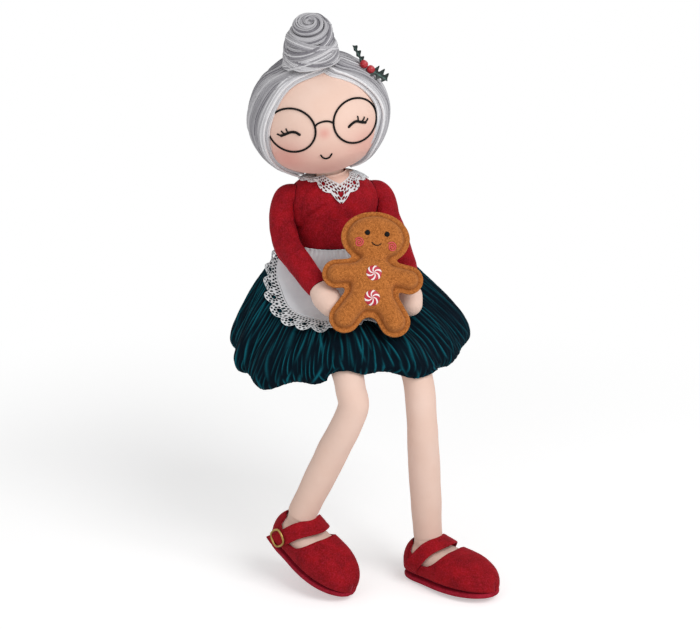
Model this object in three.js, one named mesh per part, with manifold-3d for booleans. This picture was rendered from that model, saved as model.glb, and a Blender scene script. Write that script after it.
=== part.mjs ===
// A stuffed cloth doll that sits on the edge of a shelf with its lower legs hanging down.
// It has a yarn bun with a holly sprig, a velvet dress with an apron, and holds a felt biscuit toy.
// Units are millimetres. Z is up, the doll faces -Y, and its own left side is +X.
// The origin is the middle of the flat panel it sits on.
import * as THREE from "three";
import { ConvexGeometry } from "three/addons/geometries/ConvexGeometry.js";
import { mergeVertices } from "three/addons/utils/BufferGeometryUtils.js";
import Module from "manifold-3d";

const wasm = await Module();
wasm.setup();

// Fits between neighbouring pieces
const SEAM_GAP = 0.35;
const TURN_GAP = 0.8;
const FACET_GIVE = 0.12;

// Seat and body
const SEAT_RADIUS = 30;
const SEAT_THICKNESS = 2;
const BODY_DEPTH_RATIO = 0.78;
const HIP_RADIUS = 43;
const HIP_HEIGHT = 26;
const WAIST_RADIUS = 36;
const WAIST_HEIGHT = 89;
const CHEST_RADIUS = 38;
const CHEST_HEIGHT = 113;
const SHOULDER_RADIUS = 40;
const SHOULDER_HEIGHT = 126;
const BODY_HEIGHT = 142.5;
const POCKET_RADIUS = 20;
const POCKET_HEIGHT = 44;

// Neck and head
const NECK_RADIUS = 13;
const NECK_SEAT_DEPTH = 10.5;
const NECK_REACH = 68;
const NECK_LEAN = 11.4;
const NECK_FORWARD = 3.4;
const HEAD_TILT_MAX = 16;
const HEAD_RADIUS = 53.5;
const HEAD_DEPTH_RATIO = 0.96;
const HEAD_HEIGHT_RATIO = 0.98;
const HEAD_NOD = 4;
const HEAD_ROLL = -8.9;
const HEAD_YAW = -7;

// Hair, bun and sprig
const HAIR_SIDE = 10;
const HAIR_BACK = 7;
const HAIR_TOP = 6;
const HAIR_SET_BACK = 3;
const HAIR_LENGTH = 47;
const FACE_HALF_WIDTH = 48;
const FACE_TOP = 41;
const COIL_DIAMETER = 8;
const COIL_PITCH = 8.8;
const BUN_BASE_RADIUS = 22;
const BUN_TOP_RADIUS = 17.5;
const BUN_HEIGHT = 36;
const BUN_LEAN = 14;
const HOLLY_ANGLE = 49;
const HOLLY_FORWARD = 14;
const LEAF_LENGTH = 19;
const LEAF_WIDTH = 10;
const LEAF_THICKNESS = 0.8;
const LEAF_DROOP = 5;
const BERRY_RADIUS = 3.5;

// Lace collar, skirt and apron
const LACE_THICKNESS = 1;
const COLLAR_NECK_RADIUS = 17;
const COLLAR_WIDTH = 15;
const COLLAR_POINT = 11;
const COLLAR_POINT_ANGLE = 42;
const COLLAR_SCALLOPS = 14;
const SKIRT_THICKNESS = 2.6;
const SKIRT_FOLDS = 16;
const FOLD_DEPTH = 2.2;
const APRON_THICKNESS = 1;
const APRON_HALF_WIDTH = 54;
const APRON_LENGTH = 62;
const APRON_TURN = -15;
const APRON_LACE_WIDTH = 17;
const APRON_SCALLOPS = 13;
const SCALLOP_DEPTH = 2.5;

// Arms
const SHOULDER_SPREAD = 41;
const SHOULDER_DROP = 6;
const ARM_PIVOT_HEIGHT = 127;
const SLEEVE_RADIUS = 11;
const WRIST_RADIUS = 10;
const HAND_RADIUS = 12;
const ARMS_LIFT_MAX = 28;

// Legs
const HIP_SPREAD = 28;
const HIP_FORWARD = 22;
const THIGH_LIFT = 17.5;
const THIGH_RADIUS = 14;
const KNEE_RADIUS = 13;
const ANKLE_RADIUS = 12.5;
const SHIN_LENGTH = 106;
const LEG_SWING_OUT = 10;
const LEG_SWING_IN = 4;
const KNEE_KICK_MAX = 55;
const KNEE_TUCK_MAX = 15;

// Feet and shoes
const ANKLE_HEIGHT = 41;
const SOLE_THICKNESS = 3.5;
const SOLE_LEDGE = 0.6;
const SHOE_WALL = 2.2;
const STRAP_WIDTH = 12;
const STRAP_THICKNESS = 1.8;
const BUCKLE_LENGTH = 17;
const BUCKLE_HEIGHT = 17;
const BUCKLE_BAR = 2;
const BUCKLE_THICKNESS = 2;

// Felt biscuit toy
const TOY_FELT = 1.3;
const TOY_PUFF = 9.5;
const TOY_HEAD_WIDTH = 29;
const TOY_HEAD_HEIGHT = 22.5;
const TOY_BODY_WIDTH = 22;
const TOY_LIMB_RADIUS = 12;
const TOY_RIM = 4;
const TOY_LEAN = -26;
const TOY_ROLL = 6;
const TOY_YAW = -10;
const PEPPERMINT_RADIUS = 6.7;
const PEPPERMINT_THICKNESS = 1.6;
const TOY_EYE_RADIUS = 2.5;

const rad = THREE.MathUtils.degToRad;
const lerp = THREE.MathUtils.lerp;
const V = (x, y, z) => new THREE.Vector3(x, y, z);

// Solids

// Turns a three.js geometry into a closed solid that faces outward.
function solid(geometry) {
  const bare = geometry.clone();
  bare.deleteAttribute("normal");
  bare.deleteAttribute("uv");
  const merged = mergeVertices(bare, 1e-4);
  const index = merged.index.array;
  const faces = [];
  for (let i = 0; i < index.length; i += 3) {
    const [a, b, c] = [index[i], index[i + 1], index[i + 2]];
    if (a !== b && b !== c && c !== a) faces.push([a, b, c]);
  }
  const vertProperties = new Float32Array(merged.attributes.position.array);
  const build = (list) => {
    const triVerts = new Uint32Array(list.flat());
    return new wasm.Manifold(new wasm.Mesh({ numProp: 3, vertProperties, triVerts }));
  };
  const made = build(faces);
  return made.volume() < 0 ? build(faces.map(([a, b, c]) => [a, c, b])) : made;
}

function geometryOf(made) {
  const mesh = made.getMesh();
  const geometry = new THREE.BufferGeometry();
  geometry.setAttribute("position", new THREE.Float32BufferAttribute(mesh.vertProperties, 3));
  geometry.setIndex(new THREE.BufferAttribute(new Uint32Array(mesh.triVerts), 1));
  geometry.computeVertexNormals();
  return geometry;
}

// Keeps only the largest body of a cut solid.
function largest(made) {
  return made.decompose().reduce((best, part) => (part.volume() > best.volume() ? part : best));
}

const moved = (made, matrix) => made.transform(matrix.elements);

// Skins a row of matching rings of points. A closed row joins its last ring to its first.
function loft(rings, closed = false) {
  const count = rings[0].length;
  const positions = rings.flat().flatMap((p) => [p.x, p.y, p.z]);
  const index = [];
  const spans = closed ? rings.length : rings.length - 1;
  for (let i = 0; i < spans; i++) {
    const a = i * count;
    const b = ((i + 1) % rings.length) * count;
    for (let j = 0; j < count; j++) {
      const k = (j + 1) % count;
      index.push(a + j, b + j, b + k, a + j, b + k, a + k);
    }
  }
  const cap = (base, flip) => {
    const tri = (p, q, r) => {
      if (flip) index.push(base + p, base + r, base + q);
      else index.push(base + p, base + q, base + r);
    };
    for (let i = 0, j = count - 1; i < j; i++, j--) {
      if (i + 1 < j) tri(i, i + 1, j);
      if (i + 1 < j - 1) tri(i + 1, j - 1, j);
    }
  };
  if (!closed) {
    cap(0, false);
    cap((rings.length - 1) * count, true);
  }
  const geometry = new THREE.BufferGeometry();
  geometry.setAttribute("position", new THREE.Float32BufferAttribute(positions, 3));
  geometry.setIndex(index);
  return solid(geometry);
}

// A stuffed tube along a smooth path. Its ends are round, or flat where asked.
function limb(points, radii, { steps = 8, sides = 14, startFlat = false, endFlat = false } = {}) {
  const path = new THREE.CatmullRomCurve3(points);
  const last = radii.length - 1;
  const widths = new THREE.SplineCurve(radii.map((r, i) => new THREE.Vector2(i / last, r)));
  const frames = path.computeFrenetFrames(steps);
  const ring = (centre, k, r) =>
    Array.from({ length: sides }, (_, i) => {
      const angle = (i / sides) * Math.PI * 2;
      return centre.clone()
        .addScaledVector(frames.normals[k], r * Math.cos(angle))
        .addScaledVector(frames.binormals[k], r * Math.sin(angle));
    });
  const dome = (k, direction) => {
    const r = radii[k === 0 ? 0 : last];
    const centre = path.getPointAt(k / steps);
    return [80, 52, 25].map((lift) =>
      ring(centre.clone().addScaledVector(frames.tangents[k], direction * r * Math.sin(rad(lift))), k,
        r * Math.cos(rad(lift))));
  };
  const rings = [];
  if (!startFlat) rings.push(...dome(0, -1));
  for (let k = 0; k <= steps; k++) {
    rings.push(ring(path.getPointAt(k / steps), k, widths.getPoint(k / steps).y));
  }
  if (!endFlat) rings.push(...dome(steps, 1).reverse());
  return loft(rings);
}

// Turns a profile of [radius, height] pairs about Z.
function lathe(profile, segments) {
  const points = profile.map(([r, z]) => new THREE.Vector2(Math.max(r, 0), z));
  return solid(new THREE.LatheGeometry(points, segments).rotateX(Math.PI / 2));
}

function ellipsoid(rx, ry, rz, across = 24, down = 14) {
  return solid(new THREE.SphereGeometry(1, across, down).rotateX(Math.PI / 2).scale(rx, ry, rz));
}

function ball(centre, radius, across = 20, down = 12) {
  return ellipsoid(radius, radius, radius, across, down).translate(centre.toArray());
}

// A flat shape drawn in X and Z, with its thickness running toward -Y.
function plate(shape, thickness, curveSegments = 8) {
  const settings = { depth: thickness, bevelEnabled: false, curveSegments };
  return solid(new THREE.ExtrudeGeometry(shape, settings).rotateX(Math.PI / 2));
}

// Turns a solid's Z axis onto a direction and moves it to a point.
function aim(made, origin, direction) {
  const turn = new THREE.Quaternion().setFromUnitVectors(V(0, 0, 1), direction.clone().normalize());
  return moved(made, new THREE.Matrix4().compose(origin, turn, V(1, 1, 1)));
}

// Turns a solid by degrees about an axis through a point.
function swung(made, point, axis, degrees) {
  const turn = new THREE.Matrix4().makeRotationAxis(axis.clone().normalize(), rad(degrees));
  const there = new THREE.Matrix4().makeTranslation(point.x, point.y, point.z);
  const back = new THREE.Matrix4().makeTranslation(-point.x, -point.y, -point.z);
  return moved(made, there.multiply(turn).multiply(back));
}

// A convex room for everything a solid sweeps over a turn, from even steps of it.
function swept(made, point, axis, from, to, steps) {
  const points = [];
  for (let i = 0; i <= steps; i++) {
    const corners = swung(made, point, axis, lerp(from, to, i / steps)).getMesh().vertProperties;
    for (let k = 0; k < corners.length; k += 3) points.push(V(...corners.slice(k, k + 3)));
  }
  return solid(new ConvexGeometry(points));
}

const part = new THREE.Group();
part.name = "shelf_sitter_doll";

const material = (color, roughness, metalness = 0) =>
  new THREE.MeshStandardMaterial({ color, roughness, metalness });
const MATERIALS = {
  redVelvet: material("#9e1526", 0.85),
  greenVelvet: material("#12352f", 0.85),
  skinCloth: material("#f0c9a8", 0.9),
  greyYarn: material("#b9b7b0", 0.95),
  whiteCloth: material("#f2efe8", 0.9),
  whiteLace: material("#f4f1ea", 0.9),
  linenCloth: material("#d8cfbf", 0.9),
  brownFelt: material("#a9682f", 0.95),
  leafPlastic: material("#1f5a2c", 0.35),
  berryPlastic: material("#b3121f", 0.25),
  mintThread: material("#c23a4a", 0.7),
  blackThread: material("#16120f", 0.7),
  oldBrass: material("#8a7446", 0.45, 0.9),
};

// Adds one named piece, without facets finer than the cloth's own give.
function piece(group, name, made, look) {
  const mesh = new THREE.Mesh(geometryOf(made.simplify(FACET_GIVE)), MATERIALS[look]);
  mesh.name = name;
  group.add(mesh);
}

// Body: a stuffed torso on a flat seat panel, with a bag of pellets for weight in its base

const bodyBase = SEAT_THICKNESS + SEAM_GAP;
const bodyCurve = new THREE.SplineCurve([
  [SEAT_RADIUS, bodyBase],
  [lerp(SEAT_RADIUS, HIP_RADIUS, 0.72), lerp(bodyBase, HIP_HEIGHT, 0.4)],
  [HIP_RADIUS, HIP_HEIGHT],
  [lerp(HIP_RADIUS, WAIST_RADIUS, 0.4), lerp(HIP_HEIGHT, WAIST_HEIGHT, 0.5)],
  [WAIST_RADIUS, WAIST_HEIGHT],
  [CHEST_RADIUS, CHEST_HEIGHT],
  [SHOULDER_RADIUS, SHOULDER_HEIGHT],
  [SHOULDER_RADIUS * 0.92, lerp(SHOULDER_HEIGHT, BODY_HEIGHT, 0.66)],
  [SHOULDER_RADIUS * 0.68, lerp(SHOULDER_HEIGHT, BODY_HEIGHT, 0.94)],
  [SHOULDER_RADIUS * 0.3, BODY_HEIGHT],
  [0, BODY_HEIGHT],
].map(([r, z]) => new THREE.Vector2(r, z)));
const bodyCurveLength = bodyCurve.getLength();

function bodySolid(grow = 0) {
  const outline = [];
  const count = 14;
  for (let i = 0; i <= count; i++) {
    const p = bodyCurve.getPointAt(i / count);
    const t = bodyCurve.getTangentAt(i / count);
    outline.push([p.x + grow * t.y, p.y - grow * t.x]);
  }
  const closed = [[0, outline[0][1]], ...outline, [0, outline[count][1]]];
  return lathe(closed, 24).scale([1, BODY_DEPTH_RATIO, 1]);
}

// A point over the body: an angle from the front, a distance down from the top, a height off the cloth.
function bodyPoint(angle, distance, off) {
  const p = bodyCurve.getPointAt(1 - distance / bodyCurveLength);
  const t = bodyCurve.getTangentAt(1 - distance / bodyCurveLength);
  const r = p.x + off * t.y;
  return V(r * Math.sin(angle), -r * BODY_DEPTH_RATIO * Math.cos(angle), p.y - off * t.x);
}

const seatPanel = lathe([
  [0, 0],
  [SEAT_RADIUS, 0],
  [SEAT_RADIUS, SEAT_THICKNESS],
  [0, SEAT_THICKNESS],
], 28).scale([1, BODY_DEPTH_RATIO, 1]);

const pocketTop = bodyBase + POCKET_HEIGHT;
const pocket = lathe([
  [0, 0],
  [POCKET_RADIUS, 0],
  [POCKET_RADIUS, pocketTop - 6],
  [POCKET_RADIUS - 6, pocketTop],
  [0, pocketTop],
], 20).scale([1, BODY_DEPTH_RATIO, 1]);
const bagRadius = POCKET_RADIUS - SEAM_GAP * 2;
const bagTop = pocketTop - SEAM_GAP * 2;
const pelletBag = lathe([
  [0, bodyBase],
  [bagRadius - 4, bodyBase],
  [bagRadius, bodyBase + 5],
  [bagRadius, bagTop - 9],
  [bagRadius - 7, bagTop - 1],
  [0, bagTop],
], 20).scale([1, BODY_DEPTH_RATIO, 1]);

// Neck and head: the neck rocks in the shoulders and the head turns on the neck

const neckPivot = V(0, -1, BODY_HEIGHT - NECK_SEAT_DEPTH);
const neckAxis = V(-Math.tan(rad(NECK_LEAN)), -Math.tan(rad(NECK_FORWARD)), 1).normalize();
const headCentre = neckPivot.clone().addScaledVector(neckAxis, NECK_REACH);
const neckTop = NECK_REACH - HEAD_RADIUS * 0.66;

function neckSolid(grow = 0) {
  const r = NECK_RADIUS + grow;
  const outline = [];
  for (let lift = -90; lift <= 10; lift += 20) {
    outline.push([r * Math.cos(rad(lift)), r * Math.sin(rad(lift))]);
  }
  outline[0][0] = 0;
  outline.push([r * 0.94, neckTop * 0.5]);
  outline.push([r * 0.98, neckTop - 3 + grow]);
  outline.push([r * 0.8, neckTop + grow]);
  outline.push([0, neckTop + grow]);
  return aim(lathe(outline, 18), neckPivot, neckAxis);
}
const neckTiltAxis = V(0, 1, 0);
const neckStump = limb([neckPivot, neckPivot.clone().addScaledVector(neckAxis, NECK_RADIUS * 2)],
  Array(2).fill(NECK_RADIUS + TURN_GAP * 1.3), { steps: 1, sides: 12 });
const neckRoom = swept(neckStump, neckPivot, neckTiltAxis, -1, HEAD_TILT_MAX + 1, 2);

const headGroup = new THREE.Group();
headGroup.name = "head_group";
headGroup.position.copy(headCentre);
headGroup.rotation.set(rad(HEAD_NOD), rad(HEAD_ROLL), rad(HEAD_YAW), "ZYX");
headGroup.updateMatrix();
const intoHead = headGroup.matrix.clone().invert();
part.add(headGroup);

function headBall(grow = 0) {
  const r = HEAD_RADIUS;
  return ellipsoid(r + grow, r * HEAD_DEPTH_RATIO + grow, r * HEAD_HEIGHT_RATIO + grow, 24, 14);
}
const neckInHead = moved(neckSolid(TURN_GAP), intoHead);
const head = headBall().subtract(neckInHead);

// Hair: a thick yarn cap open over the face

const hairRadius = {
  x: HEAD_RADIUS + HAIR_SIDE,
  y: HEAD_RADIUS * HEAD_DEPTH_RATIO + HAIR_BACK,
  z: HEAD_RADIUS * HEAD_HEIGHT_RATIO + HAIR_TOP,
};
function hairBall(grow = 0) {
  return ellipsoid(hairRadius.x + grow, hairRadius.y + grow, hairRadius.z + grow, 26, 14)
    .translate([0, HAIR_SET_BACK, 0]);
}

// The opening rises to a soft point over the middle of the forehead.
const opening = new THREE.Shape();
const faceW = FACE_HALF_WIDTH;
opening.moveTo(0, FACE_TOP);
opening.bezierCurveTo(faceW * 0.55, FACE_TOP * 0.92, faceW, FACE_TOP * 0.5, faceW, -4);
opening.bezierCurveTo(faceW, -24, faceW * 0.8, -40, faceW * 0.5, -70);
opening.lineTo(-faceW * 0.5, -70);
opening.bezierCurveTo(-faceW * 0.8, -40, -faceW, -24, -faceW, -4);
opening.bezierCurveTo(-faceW, FACE_TOP * 0.5, -faceW * 0.55, FACE_TOP * 0.92, 0, FACE_TOP);
const faceRoom = plate(opening, HEAD_RADIUS * 2, 10);
const belowHair = solid(new THREE.BoxGeometry(300, 300, 100)).translate([0, 0, -HAIR_LENGTH - 50]);
// The bun stands on a flat pressed into the hair.
const bunAxis = V(0, -Math.sin(rad(BUN_LEAN)), Math.cos(rad(BUN_LEAN)));
const bunSeatHeight = HEAD_RADIUS * HEAD_HEIGHT_RATIO + HAIR_TOP * 0.25;
const bunSeatRadius = BUN_BASE_RADIUS + COIL_DIAMETER / 2 + SEAM_GAP;
const bunRoom = aim(lathe([[0, 0], [bunSeatRadius, 0], [bunSeatRadius, 60], [0, 60]], 24),
  bunAxis.clone().multiplyScalar(bunSeatHeight), bunAxis);
const hairCap = largest(
  hairBall().subtract(headBall(SEAM_GAP)).subtract(faceRoom).subtract(belowHair).subtract(bunRoom)
    .subtract(moved(neckSolid(TURN_GAP * 2), intoHead)));

// Bun: one roving wound up a soft core and in over its top

const bunBase = bunAxis.clone().multiplyScalar(bunSeatHeight + SEAM_GAP + COIL_DIAMETER / 2);
const meridian = new THREE.SplineCurve([
  [BUN_BASE_RADIUS, 0],
  [lerp(BUN_BASE_RADIUS, BUN_TOP_RADIUS, 0.4), BUN_HEIGHT * 0.38],
  [BUN_TOP_RADIUS, BUN_HEIGHT * 0.68],
  [BUN_TOP_RADIUS * 0.7, BUN_HEIGHT * 0.91],
  [BUN_TOP_RADIUS * 0.22, BUN_HEIGHT],
].map(([r, z]) => new THREE.Vector2(r, z)));
const coilTurns = meridian.getLength() / COIL_PITCH;
const coilSteps = Math.round(coilTurns * 24);
const coilPoints = [];
for (let i = 0; i <= coilSteps; i++) {
  const p = meridian.getPointAt(i / coilSteps);
  const angle = (i / 24) * Math.PI * 2;
  coilPoints.push(V(p.x * Math.cos(angle), p.x * Math.sin(angle), p.y));
}
let coilGap = Infinity;
for (let i = 0; i < coilPoints.length; i++) {
  for (let j = i + 14; j < coilPoints.length; j++) {
    coilGap = Math.min(coilGap, coilPoints[i].distanceTo(coilPoints[j]) - COIL_DIAMETER);
  }
}
console.log("least gap of the bun coil to itself, mm:", coilGap.toFixed(3));
const coil = limb(coilPoints, [COIL_DIAMETER / 2, COIL_DIAMETER / 2], { steps: coilSteps, sides: 6 });
const coreOutline = [[0, -COIL_DIAMETER / 2]];
coreOutline.push([BUN_BASE_RADIUS - COIL_DIAMETER / 2 - SEAM_GAP, -COIL_DIAMETER / 2]);
for (let i = 0; i <= 8; i++) {
  const p = meridian.getPointAt((i / 8) * 0.86);
  const t = meridian.getTangentAt((i / 8) * 0.86);
  const inward = COIL_DIAMETER / 2 + SEAM_GAP;
  coreOutline.push([p.x - inward * t.y, p.y + inward * t.x]);
}
coreOutline.push([0, coreOutline[coreOutline.length - 1][1] + 0.4]);
const bunCore = aim(lathe(coreOutline, 16), bunBase, bunAxis);
const bunCoil = aim(coil, bunBase, bunAxis);

// Holly sprig: two leaves and two berries on the doll's left of the bun

function leafShape() {
  const half = LEAF_WIDTH / 2;
  const spines = [[0.28, 0.95], [0.58, 1], [0.84, 0.62]];
  const shape = new THREE.Shape();
  shape.moveTo(0, -0.8);
  let at = 0;
  for (const [along, wide] of spines) {
    const dip = lerp(at, along, 0.55) * LEAF_LENGTH;
    shape.quadraticCurveTo(dip, half * wide * 0.5, along * LEAF_LENGTH, half * wide);
    at = along;
  }
  shape.quadraticCurveTo(0.9 * LEAF_LENGTH, half * 0.25, LEAF_LENGTH, 0);
  for (const [along, wide] of spines.slice().reverse()) {
    const dip = lerp(along, at, 0.5) * LEAF_LENGTH;
    shape.quadraticCurveTo(dip, -half * 0.35, along * LEAF_LENGTH, -half * wide);
    at = along;
  }
  shape.quadraticCurveTo(0.12 * LEAF_LENGTH, -half * 0.5, 0, -0.8);
  return shape;
}
function leaf() {
  const settings = { depth: LEAF_THICKNESS, bevelEnabled: false, curveSegments: 3 };
  return solid(new THREE.ExtrudeGeometry(leafShape(), settings));
}
const hollyOut = V(
  Math.sin(rad(HOLLY_ANGLE)) * Math.cos(rad(HOLLY_FORWARD)),
  -Math.sin(rad(HOLLY_FORWARD)),
  Math.cos(rad(HOLLY_ANGLE)) * Math.cos(rad(HOLLY_FORWARD)));
const hollyReach = 1 / Math.hypot(
  hollyOut.x / hairRadius.x, hollyOut.y / hairRadius.y, hollyOut.z / hairRadius.z);
const hollySpot = hollyOut.clone().multiplyScalar(hollyReach);
const hollyNormal = V(
  hollySpot.x / hairRadius.x ** 2, hollySpot.y / hairRadius.y ** 2, hollySpot.z / hairRadius.z ** 2)
  .normalize();
const hollyDown = V(hollyNormal.z, 0, -hollyNormal.x).normalize();
const hollyFront = new THREE.Vector3().crossVectors(hollyNormal, hollyDown);
const hollyFrame = new THREE.Matrix4().makeBasis(hollyDown, hollyFront, hollyNormal)
  .setPosition(hollySpot.clone().add(V(0, HAIR_SET_BACK, 0)));
const leafTurn = (degrees, tip) => new THREE.Matrix4().makeRotationZ(rad(degrees))
  .multiply(new THREE.Matrix4().makeRotationY(rad(tip)));
function leafAt(degrees) {
  const placed = moved(leaf().translate([2.5, 0, SEAM_GAP]), leafTurn(degrees, LEAF_DROOP));
  return largest(moved(placed, hollyFrame).subtract(hairBall(SEAM_GAP)));
}
const berryRise = BERRY_RADIUS + LEAF_THICKNESS;
const berryAt = (along) => ball(V(along, 0, berryRise), BERRY_RADIUS, 10, 7);
const lowerBerry = moved(berryAt(BERRY_RADIUS + SEAM_GAP), hollyFrame);
const upperBerry = moved(berryAt(-BERRY_RADIUS), hollyFrame);

// Lace collar: a scalloped band that lies on the shoulders and comes to a point in front

const collarLift = SEAM_GAP * 3;
function collarRing(angle) {
  const turn = Math.abs(((THREE.MathUtils.radToDeg(angle) + 180) % 360) - 180);
  const point = Math.max(0, 1 - turn / COLLAR_POINT_ANGLE);
  const inner = COLLAR_NECK_RADIUS + COLLAR_POINT * point;
  const scallop = SCALLOP_DEPTH * (Math.abs(Math.cos((angle * COLLAR_SCALLOPS) / 2)) - 1);
  const outer = inner + COLLAR_WIDTH + 4 * point + scallop;
  const ring = [];
  const at = (i, off) => bodyPoint(angle, lerp(inner, outer, i / 3), off);
  for (let i = 0; i <= 3; i++) ring.push(at(i, collarLift + LACE_THICKNESS));
  for (let i = 3; i >= 0; i--) ring.push(at(i, collarLift));
  return ring;
}
const collarSteps = COLLAR_SCALLOPS * 4;
const collar = loft(
  Array.from({ length: collarSteps }, (_, i) => collarRing((i / collarSteps) * Math.PI * 2)), true);

// Legs: each thigh lies on the seat, bends over the edge and carries a hinged lower leg

const LEGS = {
  left: {
    side: 1,
    bend: [[42, -80, 13.8], [47.5, -99, 2.5], [50.5, -109, -16]],
    knee: [52, -113, -45],
    hang: [9, 9, -108],
    footYaw: 35,
    footPitch: -3,
  },
  right: {
    side: -1,
    bend: [[-14, -86, 13.8], [-11.4, -103, 3], [-9.8, -112, -12]],
    knee: [-9, -115, -31],
    hang: [-36.7, 25.6, -94.2],
    footYaw: 33,
    footPitch: 18,
  },
};
for (const leg of Object.values(LEGS)) {
  leg.hip = V(leg.side * HIP_SPREAD, -HIP_FORWARD, THIGH_LIFT);
  leg.bend = leg.bend.map((p) => V(...p));
  leg.knee = V(...leg.knee);
  leg.axis = leg.bend[0].clone().sub(leg.hip).normalize();
  leg.hangDirection = V(...leg.hang).normalize();
  leg.ankle = leg.knee.clone().addScaledVector(leg.hangDirection, SHIN_LENGTH);
  leg.thighPath = [leg.hip, leg.hip.clone().lerp(leg.bend[0], 0.5), ...leg.bend, leg.knee];
  leg.kickAxis = V(leg.axis.y, -leg.axis.x, 0).normalize();
}

function thighSolid(leg, grow = 0) {
  const between = lerp(THIGH_RADIUS, KNEE_RADIUS, 0.5);
  const radii = [THIGH_RADIUS, THIGH_RADIUS, between, KNEE_RADIUS, KNEE_RADIUS];
  return limb(leg.thighPath, radii.map((r) => r + grow), { steps: 10, sides: 12 });
}
// Room for the thigh as it swings: its straight run stays in place and its bent end moves sideways.
function thighRoom(leg) {
  const wide = THIGH_RADIUS + TURN_GAP * 1.7;
  const run = limb([leg.hip, leg.bend[0]], [wide, wide], { steps: 1, sides: 10 });
  const bent = limb(leg.bend, [wide, wide, wide], { steps: 3, sides: 10 });
  const [from, to] = leg.side > 0 ? [-LEG_SWING_IN, LEG_SWING_OUT] : [-LEG_SWING_OUT, LEG_SWING_IN];
  return run.add(swept(bent, leg.hip, leg.axis, from - 1, to + 1, 2));
}
function shinSolid(leg) {
  const start = leg.knee.clone().addScaledVector(leg.hangDirection, KNEE_RADIUS * 0.3);
  const middle = leg.knee.clone().lerp(leg.ankle, 0.45);
  const end = leg.ankle.clone().addScaledVector(leg.hangDirection, -SEAM_GAP);
  const radii = [KNEE_RADIUS, KNEE_RADIUS + 0.6, ANKLE_RADIUS];
  const blank = limb([start, middle, end], radii, { steps: 6, sides: 12, endFlat: true });
  const wide = KNEE_RADIUS + TURN_GAP * 1.3;
  const stump = limb([leg.bend[2], leg.knee], [wide, wide], { steps: 1, sides: 10 });
  const room = swept(stump, leg.knee, leg.kickAxis, -KNEE_KICK_MAX - 1, KNEE_TUCK_MAX + 1, 3);
  return largest(blank.subtract(room));
}

// Shoes: drawn with X toward the toe and the ankle at the origin

const floorLevel = -ANKLE_HEIGHT;
const insole = floorLevel + SOLE_THICKNESS + SEAM_GAP;
const LAST = [
  { x: -22, wide: 4, tall: 12 },
  { x: -18, wide: 12.5, tall: 24 },
  { x: -8, wide: 18, tall: 33 },
  { x: 8, wide: 20.5, tall: 31.5 },
  { x: 28, wide: 23.5, tall: 28 },
  { x: 46, wide: 23, tall: 25 },
  { x: 60, wide: 18.5, tall: 20 },
  { x: 69, wide: 11.5, tall: 15 },
  { x: 73, wide: 4, tall: 9 },
];
function shoeLast(inset) {
  const rings = LAST.map(({ x, wide, tall }, i) => {
    const end = i === 0 ? inset : i === LAST.length - 1 ? -inset : 0;
    const w = Math.max(wide - inset, 1);
    const h = Math.max(tall - inset * 2, 2);
    const ring = [];
    for (let k = 0; k < 14; k++) {
      const angle = -Math.PI / 2 + ((k + 0.5) / 14) * Math.PI * 2;
      const c = Math.cos(angle);
      const s = Math.sin(angle);
      const lift = s > 0 ? 0.42 + 0.58 * s : 0.42 + 0.42 * Math.sign(s) * Math.abs(s) ** 0.45;
      const across = w * Math.sign(c) * Math.abs(c) ** 0.75;
      ring.push(V(x + end, across, insole + inset + h * lift));
    }
    return ring;
  });
  return loft(rings);
}
// A flat sole that follows the widest outline of the shoe and stands proud of it all round.
function soleSolid() {
  const edge = (side) => LAST.map(({ x, wide }) => new THREE.Vector2(x, side * (wide + SOLE_LEDGE)));
  const shape = new THREE.Shape();
  shape.setFromPoints([...edge(-1), ...edge(1).reverse()]);
  const settings = { depth: SOLE_THICKNESS, bevelEnabled: false };
  return solid(new THREE.ExtrudeGeometry(shape, settings)).translate([0, 0, floorLevel]);
}
// Leaves the low sides and the tall heel of the shoe, seen from the side.
const throat = new THREE.Shape();
throat.moveTo(29, 20);
throat.lineTo(29, floorLevel + 30);
throat.quadraticCurveTo(19, floorLevel + 25.5, 8, floorLevel + 18);
throat.quadraticCurveTo(-8, floorLevel + 18, -13, floorLevel + 34);
throat.lineTo(-30, floorLevel + 38);
throat.lineTo(-30, 20);
throat.closePath();
const throatRoom = plate(throat, 80, 5).translate([0, 40, 0]);
function footSolid(grow = 0) {
  const toes = shoeLast(SHOE_WALL + SEAM_GAP - grow);
  const radii = [ANKLE_RADIUS + grow, ANKLE_RADIUS + 0.7 + grow, ANKLE_RADIUS + 0.7 + grow];
  const heel = limb([V(0, 0, -6), V(1.5, 0, -14), V(5, 0, -22)], radii, { steps: 4, sides: 12 });
  return toes.add(heel);
}
const ankleCut = solid(new THREE.BoxGeometry(80, 80, 60)).translate([0, 0, 30]);

function strapPath(side) {
  return new THREE.CatmullRomCurve3([
    V(-3, -side * 19.5, floorLevel + 14),
    V(1, -side * 20.6, floorLevel + 21),
    V(8, -side * 14.5, floorLevel + 32),
    V(13, 0, floorLevel + 35.8),
    V(8, side * 14.5, floorLevel + 32),
    V(1, side * 21.4, floorLevel + 21),
    V(-7, side * 21.4, floorLevel + 11),
  ]);
}
function strapSolid(side) {
  const path = strapPath(side);
  const steps = 16;
  const rings = [];
  for (let i = 0; i <= steps; i++) {
    const p = path.getPointAt(i / steps);
    const t = path.getTangentAt(i / steps);
    const out = V(0.35, p.y / 20, (p.z - floorLevel - 14) / 16);
    const across = new THREE.Vector3().crossVectors(t, out).normalize();
    const up = new THREE.Vector3().crossVectors(across, t).normalize();
    const corner = (a, u) => p.clone()
      .addScaledVector(across, (a * STRAP_WIDTH) / 2)
      .addScaledVector(up, u * STRAP_THICKNESS);
    rings.push([corner(-1, 0), corner(1, 0), corner(1, 1), corner(-1, 1)]);
  }
  return loft(rings);
}
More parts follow.
